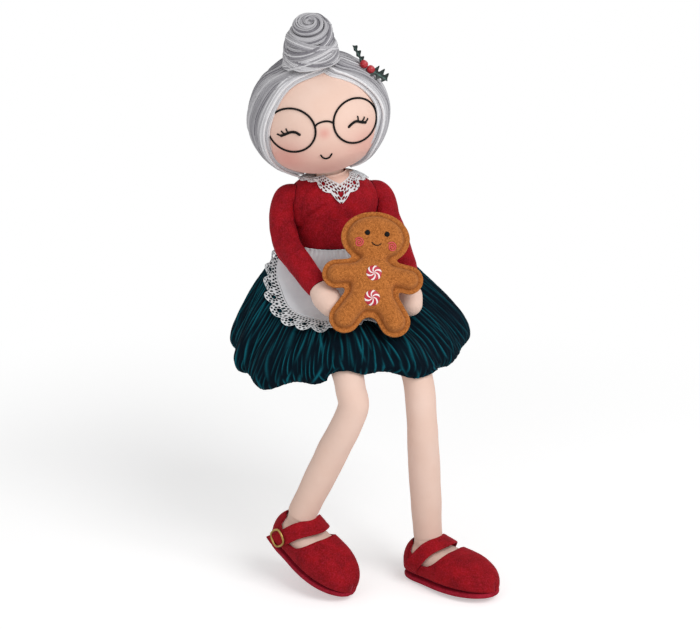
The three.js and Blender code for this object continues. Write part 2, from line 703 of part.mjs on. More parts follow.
function buckleFrame() {
  const outer = new THREE.Shape();
  const [l, h] = [BUCKLE_LENGTH / 2, BUCKLE_HEIGHT / 2];
  outer.moveTo(-l, -h).lineTo(l, -h).lineTo(l, h).lineTo(-l, h).closePath();
  const hole = new THREE.Path();
  const [a, b] = [l - BUCKLE_BAR, h - BUCKLE_BAR];
  hole.moveTo(-a, -b).lineTo(-a, b).lineTo(a, b).lineTo(a, -b).closePath();
  outer.holes.push(hole);
  return plate(outer, BUCKLE_THICKNESS);
}
function bucklePlace(side) {
  const turn = new THREE.Matrix4().makeRotationZ(side > 0 ? Math.PI : 0);
  const slope = new THREE.Matrix4().makeRotationY(rad(side > 0 ? 52 : -52));
  const place = new THREE.Matrix4().makeTranslation(0, side * (24.9 + SEAM_GAP), floorLevel + 20);
  return place.multiply(turn).multiply(slope);
}

function buildLeg(name) {
  const leg = LEGS[name];
  piece(part, `thigh_${name}`, thighSolid(leg), "skinCloth");
  piece(part, `shin_${name}`, shinSolid(leg), "skinCloth");
  const shoeGroup = new THREE.Group();
  shoeGroup.name = `shoe_group_${name}`;
  const [a, p] = [rad(leg.footYaw), rad(leg.footPitch)];
  const toe = V(Math.sin(a) * Math.cos(p), -Math.cos(a) * Math.cos(p), -Math.sin(p));
  const up = V(Math.sin(a) * Math.sin(p), -Math.cos(a) * Math.sin(p), Math.cos(p));
  const across = new THREE.Vector3().crossVectors(up, toe);
  const frame = new THREE.Matrix4().makeBasis(toe, across, up).setPosition(leg.ankle);
  shoeGroup.applyMatrix4(frame);
  part.add(shoeGroup);
  const intoShoe = frame.clone().invert();
  const shinRoom = moved(aim(ankleCut, leg.ankle, leg.hangDirection.clone().negate()), intoShoe);
  const foot = largest(footSolid().subtract(shinRoom));
  const upper = largest(shoeLast(0).subtract(footSolid(SEAM_GAP)).subtract(throatRoom));
  const shoeBody = footSolid(SEAM_GAP * 2).add(shoeLast(-SEAM_GAP).subtract(throatRoom));
  const strap = largest(strapSolid(leg.side).subtract(shoeBody));
  const place = bucklePlace(leg.side);
  piece(shoeGroup, `foot_${name}`, foot, "skinCloth");
  piece(shoeGroup, `shoe_upper_${name}`, upper, "redVelvet");
  piece(shoeGroup, `shoe_sole_${name}`, soleSolid(), "redVelvet");
  piece(shoeGroup, `shoe_strap_${name}`, strap, "redVelvet");
  piece(shoeGroup, `buckle_frame_${name}`, moved(buckleFrame(), place), "oldBrass");
}

// Skirt: a gathered bubble that rests on the lap and round the seat, with soft folds down it

const HEM = [
  { angle: 0, reach: 121, height: 2 },
  { angle: 25, reach: 130, height: -5 },
  { angle: 48, reach: 121, height: -7 },
  { angle: 70, reach: 120, height: -2 },
  { angle: 105, reach: 100, height: 1.5 },
  { angle: 145, reach: 79, height: 1.5 },
  { angle: 180, reach: 71, height: 1.5 },
  { angle: 215, reach: 78, height: 1.5 },
  { angle: 252, reach: 91, height: 1.5 },
  { angle: 285, reach: 95, height: 1 },
  { angle: 315, reach: 107, height: -18 },
  { angle: 338, reach: 112, height: -9 },
];
// From waist to hem: share of the reach, then share of the height over the lap and at the sides.
const SKIRT_PROFILE = [
  { reach: 0, lap: 1, side: 1 },
  { reach: 0.16, lap: 0.66, side: 0.85 },
  { reach: 0.37, lap: 0.43, side: 0.67 },
  { reach: 0.65, lap: 0.36, side: 0.41 },
  { reach: 0.86, lap: 0.28, side: 0.21 },
  { reach: 0.98, lap: 0.15, side: 0.09 },
  { reach: 1, lap: 0.07, side: 0.035 },
  { reach: 0.955, lap: 0, side: 0 },
];

// Reads one value of the hem at any angle, smoothly from station to station.
function hemAt(degrees, key) {
  const turn = ((degrees % 360) + 360) % 360;
  const count = HEM.length;
  let i = count - 1;
  while (HEM[i].angle > turn) i--;
  const from = HEM[i];
  const to = HEM[(i + 1) % count];
  const span = (to.angle - from.angle + 360) % 360;
  const u = THREE.MathUtils.smoothstep(turn - from.angle, 0, span);
  return lerp(from[key], to[key], u);
}

// A point on the skirt at an angle from the front and a share of the way from waist to hem.
function skirtPoint(angle, share, off) {
  const degrees = THREE.MathUtils.radToDeg(angle);
  const fromLap = ((degrees % 360) + 540) % 360 - 180;
  const lap = Math.exp(-((fromLap / 54) ** 2));
  const profile = new THREE.SplineCurve(
    SKIRT_PROFILE.map((row) => new THREE.Vector2(row.reach, lerp(row.side, row.lap, lap))));
  const p = profile.getPoint(share);
  const t = profile.getTangent(share);
  const waist = WAIST_RADIUS / Math.hypot(Math.sin(angle), Math.cos(angle) / BODY_DEPTH_RATIO);
  const start = waist + SEAM_GAP + SKIRT_THICKNESS;
  const reach = hemAt(degrees, "reach");
  const height = hemAt(degrees, "height");
  const slope = V(t.x * (reach - start), t.y * (WAIST_HEIGHT - height), 0).normalize();
  const r = lerp(start, reach, p.x) - off * slope.y;
  const z = lerp(height, WAIST_HEIGHT, p.y) + off * slope.x;
  return V(r * Math.sin(angle), -r * Math.cos(angle), z);
}
function foldAt(angle, share) {
  const wave = Math.cos(SKIRT_FOLDS * angle + 0.7 * Math.sin(3 * angle));
  return FOLD_DEPTH * Math.min(1, share * 2.2) * wave;
}
const skirtSteps = SKIRT_FOLDS * 4;
const skirtRings = [];
for (let i = 0; i < skirtSteps; i++) {
  const angle = (i / skirtSteps) * Math.PI * 2;
  const ring = [];
  const at = (share, off) => skirtPoint(angle, share, foldAt(angle, share) + off);
  for (let k = 0; k <= 9; k++) ring.push(at(k / 9, 0));
  for (let k = 4; k >= 0; k--) ring.push(at((k / 4) * 0.97, -SKIRT_THICKNESS));
  skirtRings.push(ring);
}
const legRoom = thighRoom(LEGS.left).add(thighRoom(LEGS.right));
const skirt = largest(loft(skirtRings, true).subtract(legRoom));

// Apron: a half-round panel on the front of the skirt with a scalloped lace edge

const apronReach = 48;
const apronDrop = 188;
const apronTop = 0.012;
function apronPoint(x, y, off) {
  const lift = lerp(SEAM_GAP * 1.5, FOLD_DEPTH + SEAM_GAP * 5, THREE.MathUtils.smoothstep(y, 0, 12));
  return skirtPoint(rad(APRON_TURN) + x / apronReach, apronTop + y / apronDrop, lift + off);
}
const apronRings = [];
for (let i = 0; i <= 14; i++) {
  const turn = rad(lerp(-80, 80, i / 14));
  const ring = [];
  const x = APRON_HALF_WIDTH * Math.sin(turn);
  const at = (k, off) => apronPoint(x, APRON_LENGTH * Math.cos(turn) * k, off);
  for (let k = 0; k <= 6; k++) ring.push(at(k / 6, APRON_THICKNESS));
  for (let k = 6; k >= 0; k--) ring.push(at(k / 6, 0));
  apronRings.push(ring);
}
const apronPanel = loft(apronRings);
const laceRings = [];
const laceSteps = APRON_SCALLOPS * 4;
for (let i = 0; i <= laceSteps; i++) {
  const turn = rad(lerp(-80, 80, i / laceSteps));
  const slope = [Math.sin(turn) / APRON_HALF_WIDTH, Math.cos(turn) / APRON_LENGTH];
  const out = new THREE.Vector2(...slope).normalize();
  const scallop = SCALLOP_DEPTH * (Math.abs(Math.sin((i / 4) * Math.PI)) - 1);
  const at = (w, off) => apronPoint(
    APRON_HALF_WIDTH * Math.sin(turn) + out.x * w, APRON_LENGTH * Math.cos(turn) + out.y * w, off);
  const ring = [];
  const far = APRON_LACE_WIDTH + scallop;
  for (let k = 0; k <= 2; k++) ring.push(at(lerp(SEAM_GAP * 2, far, k / 2), LACE_THICKNESS));
  for (let k = 2; k >= 0; k--) ring.push(at(lerp(SEAM_GAP * 2, far, k / 2), 0));
  laceRings.push(ring);
}
const apronLace = loft(laceRings);

// Felt toy: two padded panels sewn round the edge, with a raw rim outside the seam

const toyGroup = new THREE.Group();
toyGroup.name = "toy_group";
toyGroup.position.set(15.5, -85, 79.5);
toyGroup.rotation.set(rad(TOY_LEAN), rad(TOY_ROLL), rad(TOY_YAW), "ZYX");
toyGroup.updateMatrix();
part.add(toyGroup);

const toyHead = V(0, 0, 30);
const toyArm = { from: V(8, 0, 0), to: V(30.5, 0, -3.5) };
const toyLeg = { from: V(8, 0, -20), to: V(21, 0, -40) };

function toyFlange(grow, thickness) {
  const oval = (centre, w, h) => plate(
    new THREE.Shape().absellipse(centre.x, centre.z, w + grow, h + grow, 0, Math.PI * 2), thickness, 8);
  const bar = (from, to, r) => {
    const tilt = Math.atan2(to.z - from.z, to.x - from.x);
    const shape = new THREE.Shape();
    shape.absarc(to.x, to.z, r + grow, tilt - Math.PI / 2, tilt + Math.PI / 2);
    shape.absarc(from.x, from.z, r + grow, tilt + Math.PI / 2, tilt + Math.PI * 1.5);
    return plate(shape, thickness, 4);
  };
  const mirror = (p) => V(-p.x, p.y, p.z);
  return wasm.Manifold.union([
    oval(toyHead, TOY_HEAD_WIDTH, TOY_HEAD_HEIGHT),
    oval(V(0, 0, -8), TOY_BODY_WIDTH, 30),
    bar(toyArm.from, toyArm.to, TOY_LIMB_RADIUS),
    bar(mirror(toyArm.from), mirror(toyArm.to), TOY_LIMB_RADIUS),
    bar(toyLeg.from, toyLeg.to, TOY_LIMB_RADIUS + 1),
    bar(mirror(toyLeg.from), mirror(toyLeg.to), TOY_LIMB_RADIUS + 1),
  ]).translate([0, thickness / 2, 0]);
}
function toyPadding(grow) {
  const inset = grow - TOY_RIM;
  const fat = TOY_PUFF + grow;
  const flat = (made, r) => made.scale([1, fat / r, 1]);
  const bar = (from, to, r) => {
    const fill = limb([from, to], [r + inset, r + inset], { steps: 1, sides: 10 });
    return flat(fill, r + inset + 1.5);
  };
  const mirror = (p) => V(-p.x, p.y, p.z);
  return wasm.Manifold.union([
    ellipsoid(TOY_HEAD_WIDTH + inset, fat, TOY_HEAD_HEIGHT + inset, 16, 8).translate(toyHead.toArray()),
    ellipsoid(TOY_BODY_WIDTH + inset, fat * 1.05, 30 + inset, 16, 8).translate([0, 0, -8]),
    bar(toyArm.from, toyArm.to, TOY_LIMB_RADIUS),
    bar(mirror(toyArm.from), mirror(toyArm.to), TOY_LIMB_RADIUS),
    bar(toyLeg.from, toyLeg.to, TOY_LIMB_RADIUS + 1),
    bar(mirror(toyLeg.from), mirror(toyLeg.to), TOY_LIMB_RADIUS + 1),
  ]);
}
function toySolid(grow = 0) {
  return toyFlange(grow, TOY_FELT * 2 + grow * 2).add(toyPadding(grow));
}
const toyWhole = toySolid();
const toyFront = toyWhole.trimByPlane([0, -1, 0], SEAM_GAP / 2);
const toyBack = toyWhole.trimByPlane([0, 1, 0], SEAM_GAP / 2);
const toyRoom = moved(toySolid(SEAM_GAP), toyGroup.matrix);

// A round embroidered patch on the front of the toy
function peppermintAt(z) {
  const made = lathe([
    [0, 0],
    [PEPPERMINT_RADIUS * 0.96, 0],
    [PEPPERMINT_RADIUS, PEPPERMINT_THICKNESS * 0.4],
    [PEPPERMINT_RADIUS * 0.8, PEPPERMINT_THICKNESS * 0.9],
    [0, PEPPERMINT_THICKNESS],
  ], 20).rotate([90, 0, 0]).translate([0, -TOY_PUFF * 1.05 + 0.4, z]);
  return largest(made.subtract(toySolid(SEAM_GAP)));
}
function toyEyeAt(x) {
  const made = ball(V(x, -TOY_PUFF * 0.93, toyHead.z + 2), TOY_EYE_RADIUS, 12, 8);
  return largest(made.subtract(toySolid(SEAM_GAP)));
}

// Arms: sleeves set into the shoulders, with hands sewn to the toy they hold

const ARMS = {
  right: [[-49, -5, -19], [-48.5, -22, -35], [-39, -44, -46], [-27, -66, -63], [-19.5, -80.5, -74]],
  left: [[49.5, -5, -20], [53, -22, -37.5], [53, -42, -51.5], [51.5, -62, -68], [50.5, -75.5, -78.5]],
};
const armAxis = V(-1, 0, 0);
const armPivot = V(0, 0, ARM_PIVOT_HEIGHT);
const bodyRoom = swept(bodySolid(SEAM_GAP * 1.5), armPivot, armAxis, -ARMS_LIFT_MAX - 1, 1, 5);
function buildArm(name) {
  const side = name === "left" ? 1 : -1;
  const path = ARMS[name].map(([x, y, z]) => V(x, y, z + ARM_PIVOT_HEIGHT));
  const shoulder = V(side * SHOULDER_SPREAD, 0, ARM_PIVOT_HEIGHT - SHOULDER_DROP);
  const [, , , wrist, tip] = path;
  const reach = tip.clone().sub(wrist).normalize();
  const cuff = wrist.clone().addScaledVector(reach, -SEAM_GAP);
  const radii = [SLEEVE_RADIUS + 0.5, SLEEVE_RADIUS, SLEEVE_RADIUS, SLEEVE_RADIUS, WRIST_RADIUS];
  const sleevePath = [shoulder, ...path.slice(0, 3), cuff];
  const sleeveBlank = limb(sleevePath, radii, { steps: 10, sides: 12, endFlat: true });
  const sleeve = largest(sleeveBlank.subtract(bodyRoom).subtract(toyRoom));
  const handBlank = limb([wrist, wrist.clone().lerp(tip, 0.5), tip],
    [WRIST_RADIUS - 0.5, HAND_RADIUS, HAND_RADIUS - 1], { steps: 5, startFlat: true });
  const hand = largest(handBlank.subtract(toyRoom).subtract(sleeveBlank));
  piece(part, `sleeve_${name}`, sleeve, "redVelvet");
  piece(part, `hand_${name}`, hand, "skinCloth");
}

// Assembly

function hipRoom(leg) {
  const wide = THIGH_RADIUS + TURN_GAP * 1.3;
  return limb([leg.hip, leg.bend[0]], [wide, wide], { steps: 1, sides: 12 });
}
const sockets = wasm.Manifold.union([neckRoom, pocket, hipRoom(LEGS.left), hipRoom(LEGS.right)]);
piece(part, "bodice", largest(bodySolid().subtract(sockets)), "redVelvet");
piece(part, "seat_panel", seatPanel, "linenCloth");
piece(part, "pellet_bag", pelletBag, "linenCloth");
piece(part, "collar_lace", collar.subtract(neckRoom), "whiteLace");
piece(part, "skirt", skirt, "greenVelvet");
piece(part, "apron_panel", apronPanel, "whiteCloth");
piece(part, "apron_lace", apronLace, "whiteLace");
piece(part, "neck", neckSolid(), "skinCloth");
piece(headGroup, "head", head, "skinCloth");
piece(headGroup, "hair_cap", hairCap, "greyYarn");
piece(headGroup, "bun_core", bunCore, "greyYarn");
piece(headGroup, "bun_coil", bunCoil, "greyYarn");
piece(headGroup, "holly_leaf_upper", leafAt(172), "leafPlastic");
piece(headGroup, "holly_leaf_lower", leafAt(-12), "leafPlastic");
piece(headGroup, "holly_berry_upper", upperBerry, "berryPlastic");
piece(headGroup, "holly_berry_lower", lowerBerry, "berryPlastic");
piece(toyGroup, "toy_front", toyFront, "brownFelt");
piece(toyGroup, "toy_back", toyBack, "brownFelt");
piece(toyGroup, "toy_peppermint_upper", peppermintAt(-2), "mintThread");
piece(toyGroup, "toy_peppermint_lower", peppermintAt(-23), "mintThread");
piece(toyGroup, "toy_eye_left", toyEyeAt(8.6), "blackThread");
piece(toyGroup, "toy_eye_right", toyEyeAt(-8.6), "blackThread");
buildArm("left");
buildArm("right");
buildLeg("left");
buildLeg("right");

export default part;
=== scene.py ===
import math

import bmesh
import bpy
import numpy as np
from mathutils import Matrix, Vector


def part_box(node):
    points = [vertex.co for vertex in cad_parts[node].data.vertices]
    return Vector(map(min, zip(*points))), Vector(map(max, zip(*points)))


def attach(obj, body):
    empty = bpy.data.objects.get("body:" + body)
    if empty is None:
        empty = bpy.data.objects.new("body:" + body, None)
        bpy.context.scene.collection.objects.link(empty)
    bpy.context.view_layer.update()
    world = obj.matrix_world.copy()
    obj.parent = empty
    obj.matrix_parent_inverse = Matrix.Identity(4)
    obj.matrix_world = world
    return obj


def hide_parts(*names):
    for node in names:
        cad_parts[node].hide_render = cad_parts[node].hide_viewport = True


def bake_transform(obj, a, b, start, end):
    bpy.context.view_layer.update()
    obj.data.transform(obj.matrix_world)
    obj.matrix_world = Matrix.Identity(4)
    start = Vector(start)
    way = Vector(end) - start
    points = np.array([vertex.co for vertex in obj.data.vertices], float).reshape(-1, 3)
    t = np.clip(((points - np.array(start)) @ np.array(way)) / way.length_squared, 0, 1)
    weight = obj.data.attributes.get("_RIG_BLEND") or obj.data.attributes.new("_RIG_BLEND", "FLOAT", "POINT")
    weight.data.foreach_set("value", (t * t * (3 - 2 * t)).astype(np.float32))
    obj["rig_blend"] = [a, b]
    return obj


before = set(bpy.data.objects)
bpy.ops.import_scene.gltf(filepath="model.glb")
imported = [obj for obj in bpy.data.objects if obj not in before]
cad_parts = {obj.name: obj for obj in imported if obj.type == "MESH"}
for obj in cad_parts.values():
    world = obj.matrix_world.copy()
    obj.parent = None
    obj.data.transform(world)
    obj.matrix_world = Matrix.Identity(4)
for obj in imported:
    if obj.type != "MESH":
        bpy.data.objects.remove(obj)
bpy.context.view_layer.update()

# Seat panel and pellet bag: a stiff oval of lining cloth closes the body underneath, and a small
# linen bag of plastic pellets inside it keeps the doll from tipping. Both are sewn in. All lengths
# here are millimetres until make_piece turns them to metres.

MM = 0.001
WELD = 0.002


def to_linear(hex_colour):
    """A written colour as the shader's own linear one, with an alpha of 1."""
    channels = [int(hex_colour[i:i + 2], 16) / 255 for i in (1, 3, 5)]
    return [c / 12.92 if c <= 0.04045 else ((c + 0.055) / 1.055) ** 2.4 for c in channels] + [1]


def add_node(tree, kind, values=(), links=(), **settings):
    """Adds one node with its settings, the values of its sockets and what is linked to them."""
    node = tree.nodes.new("ShaderNode" + kind)
    for name, value in settings.items():
        setattr(node, name, value)
    for socket, value in dict(values).items():
        node.inputs[socket].default_value = value
    for socket, source in dict(links).items():
        tree.links.new(source, node.inputs[socket])
    return node


def start_material(name, sockets):
    """A named material with its shader's own values set, and the place of a point on the piece."""
    material = bpy.data.materials.new(name)
    material.use_nodes = True
    tree = material.node_tree
    shader = tree.nodes["Principled BSDF"]
    for socket, value in sockets.items():
        shader.inputs[socket].default_value = value
    return material, tree, shader, add_node(tree, "TexCoord").outputs["Object"]


def per_metre(size_mm):
    """How often a pattern of that size repeats in a metre, the unit of the coordinates."""
    return 1 / (size_mm * MM)


def thread_scale(spacing_mm):
    """The scale of a wave pattern whose threads lie at that spacing."""
    return per_metre(spacing_mm) / math.tau * 2


def turned(profile, steps):
    """Spins an outline of radii and heights round the vertical axis."""
    bm = bmesh.new()
    verts = [bm.verts.new((r, 0, z)) for r, z in profile]
    edges = [bm.edges.new(pair) for pair in zip(verts, verts[1:])]
    bmesh.ops.spin(bm, geom=verts + edges, cent=(0, 0, 0), axis=(0, 0, 1), angle=math.tau,
                   steps=steps, use_merge=True)
    return bm


def make_piece(name, bm, material, body, slot, *nodes):
    """Closes the mesh's seams, turns millimetres to metres and fixes the piece to its body."""
    bmesh.ops.remove_doubles(bm, verts=bm.verts, dist=WELD)
    bmesh.ops.recalc_face_normals(bm, faces=bm.faces)
    bmesh.ops.scale(bm, vec=(MM, MM, MM), verts=bm.verts)
    mesh = bpy.data.meshes.new(name)
    bm.to_mesh(mesh)
    bm.free()
    mesh.shade_smooth()
    mesh.materials.append(material)
    piece = bpy.data.objects.new(name, mesh)
    bpy.context.scene.collection.objects.link(piece)
    if body:
        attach(piece, body)
    if nodes:
        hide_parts(*nodes)
    return piece


# Plain weave lining cloth: matt, with a thread every 0.8 mm, drawn a little coarse so that it shows.
linen, tree, shader, where = start_material("linen_lining_cloth", {"Roughness": 0.9, "Sheen Weight": 0.15})
slub = add_node(tree, "TexNoise", {"Scale": per_metre(4), "Detail": 4}, {"Vector": where})
tone = add_node(tree, "Mix", {6: to_linear("#c6bba8"), 7: to_linear("#e2d9c9")},
                {0: slub.outputs["Fac"]}, data_type="RGBA")
tree.links.new(tone.outputs[2], shader.inputs["Base Color"])
threads = [add_node(tree, "TexWave", {"Scale": thread_scale(0.8), "Distortion": 0.6},
                    {"Vector": where}, bands_direction=way) for way in "XY"]
weave = add_node(tree, "Math", {}, {i: t.outputs["Fac"] for i, t in enumerate(threads)})
bump = add_node(tree, "Bump", {"Strength": 0.5, "Distance": 0.0003}, {"Height": weave.outputs[0]})
tree.links.new(bump.outputs[0], shader.inputs["Normal"])

BODY_DEPTH = 0.78
SEAT_OUTLINE = [(0, 0), (27.5, 0), (29.5, 0.35), (30, 1), (29.5, 1.7), (27.5, 2), (0, 2)]
BAG_OUTLINE = [(0, 2.6), (14, 2.6), (18.4, 5), (19.2, 12), (18.6, 30), (15, 40), (8, 44), (3, 45.3),
               (0, 45.4)]
BAG_HEIGHT = 45
BAG_PUCKERS = 9
PUCKER_DEPTH = 0.06
seat = turned(SEAT_OUTLINE, 72)
bmesh.ops.scale(seat, vec=(1, BODY_DEPTH, 1), verts=seat.verts)
make_piece("seat_cloth", seat, linen, "torso", "linen_cloth", "seat_panel")
bag = turned(BAG_OUTLINE, 48)
for vert in bag.verts:
    round_bag = math.atan2(vert.co.y, vert.co.x)
    pucker = 1 + PUCKER_DEPTH * math.cos(BAG_PUCKERS * round_bag) * vert.co.z / BAG_HEIGHT
    vert.co.xy = (vert.co.x * pucker, vert.co.y * pucker * BODY_DEPTH)
make_piece("pellet_sack", bag, linen, "torso", "linen_cloth", "pellet_bag")

# Bodice: the stuffed body, sewn of crimson short-pile velvet with armhole seams at the shoulders.
# It is filled with polyester fibre, so its cloth is tight, with soft creases toward the arms.


def spline_at(points, share):
    """Reads a smooth curve through the points at shares of its way, in even steps from point to point."""
    p = np.array(points, float)
    p = np.vstack([2 * p[0] - p[1], p, 2 * p[-1] - p[-2]])
    at = np.clip(np.asarray(share, float), 0, 1) * (len(p) - 3)
    i = np.minimum(at.astype(int), len(p) - 4)
    f = (at - i)[..., None]
    a, b, c, d = p[i], p[i + 1], p[i + 2], p[i + 3]
    return b + 0.5 * f * (c - a + f * (2 * a - 5 * b + 4 * c - d + f * (3 * (b - c) + d - a)))


def distances(line):
    """How far along a line each of its points is."""
    steps = np.linalg.norm(np.diff(line, axis=0), axis=1)
    return np.concatenate([[0], np.cumsum(steps)])


def unit(rows):
    """Each row at a length of one."""
    return rows / np.linalg.norm(rows, axis=-1, keepdims=True)


def smooth_path(points, count):
    """A number of points at equal distances along a smooth curve."""
    fine = spline_at(points, np.linspace(0, 1, 40 * len(points)))
    run = distances(fine)
    at = np.linspace(0, run[-1], count)
    return np.stack([np.interp(at, run, column) for column in fine.T], axis=1)


def lay_cloth(bm, columns, rows, place, **marks):
    """Adds a grid and moves each point to place(u, v). Marks are named values kept on its points."""
    uv_layer = bm.loops.layers.uv.verify()
    floats = bm.verts.layers.float
    layers = {name: floats.get(name) or floats.new(name) for name in marks}
    verts = bmesh.ops.create_grid(bm, x_segments=columns, y_segments=rows, size=0.5)["verts"]
    u, v, _ = np.array([vert.co for vert in verts]).T + 0.5
    spots = place(u, v)
    values = {name: mark(u, v) if callable(mark) else np.full(len(u), mark)
              for name, mark in marks.items()}
    for i, vert in enumerate(verts):
        vert.co = spots[i]
        for loop in vert.link_loops:
            loop[uv_layer].uv = (u[i], v[i])
        for name, layer in layers.items():
            vert[layer] = values[name][i]
    return verts


def places_of(verts):
    """Where the vertices are, one row each."""
    return np.array([vert.co for vert in verts])


def settle(verts, places):
    """Moves the vertices to those places."""
    for vert, place in zip(verts, places):
        vert.co = place


def lumps(points, size):
    """A soft unevenness from -1 to 1, with swells of about that size, as stuffing makes."""
    x, y, z = np.asarray(points, float).T * (math.tau / size)
    waves = np.sin(x + 1.7 * np.sin(0.6 * y)) + np.sin(1.1 * y + 1.3 * np.sin(0.7 * z))
    return (waves + np.sin(0.9 * z + 1.1 * np.sin(0.8 * x))) / 3


def nearest_on(points, line):
    """The nearest place on a line of points, and how far off it is, for each point."""
    line = np.asarray(line, float)
    gap = np.full(len(points), np.inf)
    nearest = np.zeros_like(points)
    for a, b in zip(line, line[1:]):
        t = np.clip((points - a) @ (b - a) / max(np.dot(b - a, b - a), 1e-9), 0, 1)
        spot = a + t[:, None] * (b - a)
        away = np.linalg.norm(points - spot, axis=1)
        closer = away < gap
        gap[closer] = away[closer]
        nearest[closer] = spot[closer]
    return nearest, gap


def push_out(points, line, radius):
    """Moves points that lie in a tube round the line out to its surface."""
    nearest, gap = nearest_on(points, line)
    out = (points - nearest) / np.maximum(gap, 1e-6)[:, None]
    return np.where((gap < radius)[:, None], nearest + out * radius, points)


def velvet(name, dark, body_colour, light, tint, crush_mm):
    """Short-pile velvet: the pile leans in patches, so its colour is mottled, and its edges glow."""
    material, tree, shader, where = start_material(
        name, {"Roughness": 0.8, "Sheen Weight": 0.75, "Sheen Roughness": 0.2, "Sheen Tint": to_linear(tint),
               "Specular IOR Level": 0.12})
    crush = add_node(tree, "TexNoise", {"Scale": per_metre(crush_mm), "Detail": 5, "Roughness": 0.65},
                     {"Vector": where})
    lean = add_node(tree, "MapRange", {"From Min": 0.35, "From Max": 0.68}, {"Value": crush.outputs["Fac"]})
    pile = add_node(tree, "TexNoise", {"Scale": per_metre(1.1), "Detail": 3}, {"Vector": where})
    tuft = add_node(tree, "MapRange", {"From Min": 0.42, "From Max": 0.8, "To Max": 0.55},
                    {"Value": pile.outputs["Fac"]})
    low = add_node(tree, "Mix", {6: to_linear(dark), 7: to_linear(body_colour)},
                   {0: lean.outputs[0]}, data_type="RGBA")
    high = add_node(tree, "Mix", {7: to_linear(light)}, {0: tuft.outputs[0], 6: low.outputs[2]},
                    data_type="RGBA")
    tree.links.new(high.outputs[2], shader.inputs["Base Color"])
    bump = add_node(tree, "Bump", {"Strength": 0.25, "Distance": 0.0005}, {"Height": pile.outputs["Fac"]})
    tree.links.new(bump.outputs[0], shader.inputs["Normal"])
    return material


crimson_velvet = velvet("crimson_velvet", "#77090e", "#9d0f16", "#c42a44", "#ff6482", 11)

BODY_OUTLINE = [(30, 2.35), (39.4, 11.8), (43, 26), (40.2, 57.5), (36, 89), (38, 113), (40, 126),
                (37.6, 137.5), (29, 145.5), (19, 150.5), (10, 152), (0, 152)]
NECK_LEAN, NECK_FORWARD = math.radians(11.4), math.radians(3.4)
NECK_PIVOT = np.array([0, -1, 132])
NECK_AXIS = unit(np.array([-math.tan(NECK_LEAN), -math.tan(NECK_FORWARD), 1]))
NECK_LINE = [NECK_PIVOT, NECK_PIVOT + 40 * NECK_AXIS]
NECK_RADIUS = 13
HEAD_RADII = np.array([53.5, 51.4, 52.4])
HEAD_HEIGHT = 68
HEAD_CENTRE = NECK_PIVOT + HEAD_HEIGHT * NECK_AXIS
CHIN_FLATTENS_FROM = -25
CHIN_SHARE = 0.76
# Room left between the body and the head over it: under the chin, and how much more at the nape.
CHIN_ROOM = 2
NAPE_ROOM = 4.5
body_line = smooth_path(BODY_OUTLINE, 161)
body_run = distances(body_line)[-1]


def beside(outline, share, off):
    """A radius and a height beside a turned outline: a share of its way, and a height off it."""
    at, steps = share * (len(outline) - 1), np.arange(len(outline))
    slope = unit(np.gradient(outline, axis=0))
    r, z, slope_r, slope_z = (np.interp(at, steps, column) for column in np.hstack([outline, slope]).T)
    return r + off * slope_z, z - off * slope_r


def body_point(angle, from_top, off):
    """A point over the body: an angle from the front, a distance down from its top, a height off it."""
    r, z = beside(body_line, 1 - from_top / body_run, off)
    points = np.stack([r * np.sin(angle), -r * BODY_DEPTH * np.cos(angle), z], axis=1)
    far = np.clip(1 - (((points - HEAD_CENTRE) / HEAD_RADII)[:, :2] ** 2).sum(1), 0, 1)
    chin = CHIN_FLATTENS_FROM - CHIN_SHARE * (HEAD_RADII[2] * np.sqrt(far) + CHIN_FLATTENS_FROM)
    room = CHIN_ROOM + NAPE_ROOM * np.clip((1 - np.cos(angle)) / 0.5, 0, 1)
    ceiling = HEAD_CENTRE[2] + chin - room + off
    points[:, 2] = np.where(far > 0.25, np.minimum(points[:, 2], ceiling), points[:, 2])
    return points


SEAM_DEPTH = 1.1
SEAM_WIDTH = 1.3
ARMHOLE = [(28, 141), (32.5, 131), (33, 118), (32, 107), (36, 98)]
CHEST_CREASE = [(-34, 104), (-27, 116), (-14, 127)]
CREASE_DEPTH, CREASE_WIDTH = 1.7, 1.8
LIP_HEIGHT, LIP_WIDTH, LIP_FROM_CREASE = 1.1, 3, 4.5


def bodice_place(u, v):
    angle = u * math.tau
    points = body_point(angle, (1 - v) * body_run, 0)
    front = points[:, 1] < 0
    flat = points[:, [0, 2]]
    sunk = np.zeros(len(u))
    for seam in (ARMHOLE, [(-x, z) for x, z in ARMHOLE]):
        _, off_seam = nearest_on(flat, smooth_path(seam, 30))
        sunk += SEAM_DEPTH * np.exp(-(off_seam / SEAM_WIDTH) ** 2)
    _, off_crease = nearest_on(flat, smooth_path(CHEST_CREASE, 20))
    lip = LIP_HEIGHT * np.exp(-((off_crease - LIP_FROM_CREASE) / LIP_WIDTH) ** 2)
    sunk += front * (CREASE_DEPTH * np.exp(-(off_crease / CREASE_WIDTH) ** 2) - lip)
    return body_point(angle, (1 - v) * body_run, 0.5 * lumps(points, 34) - sunk)


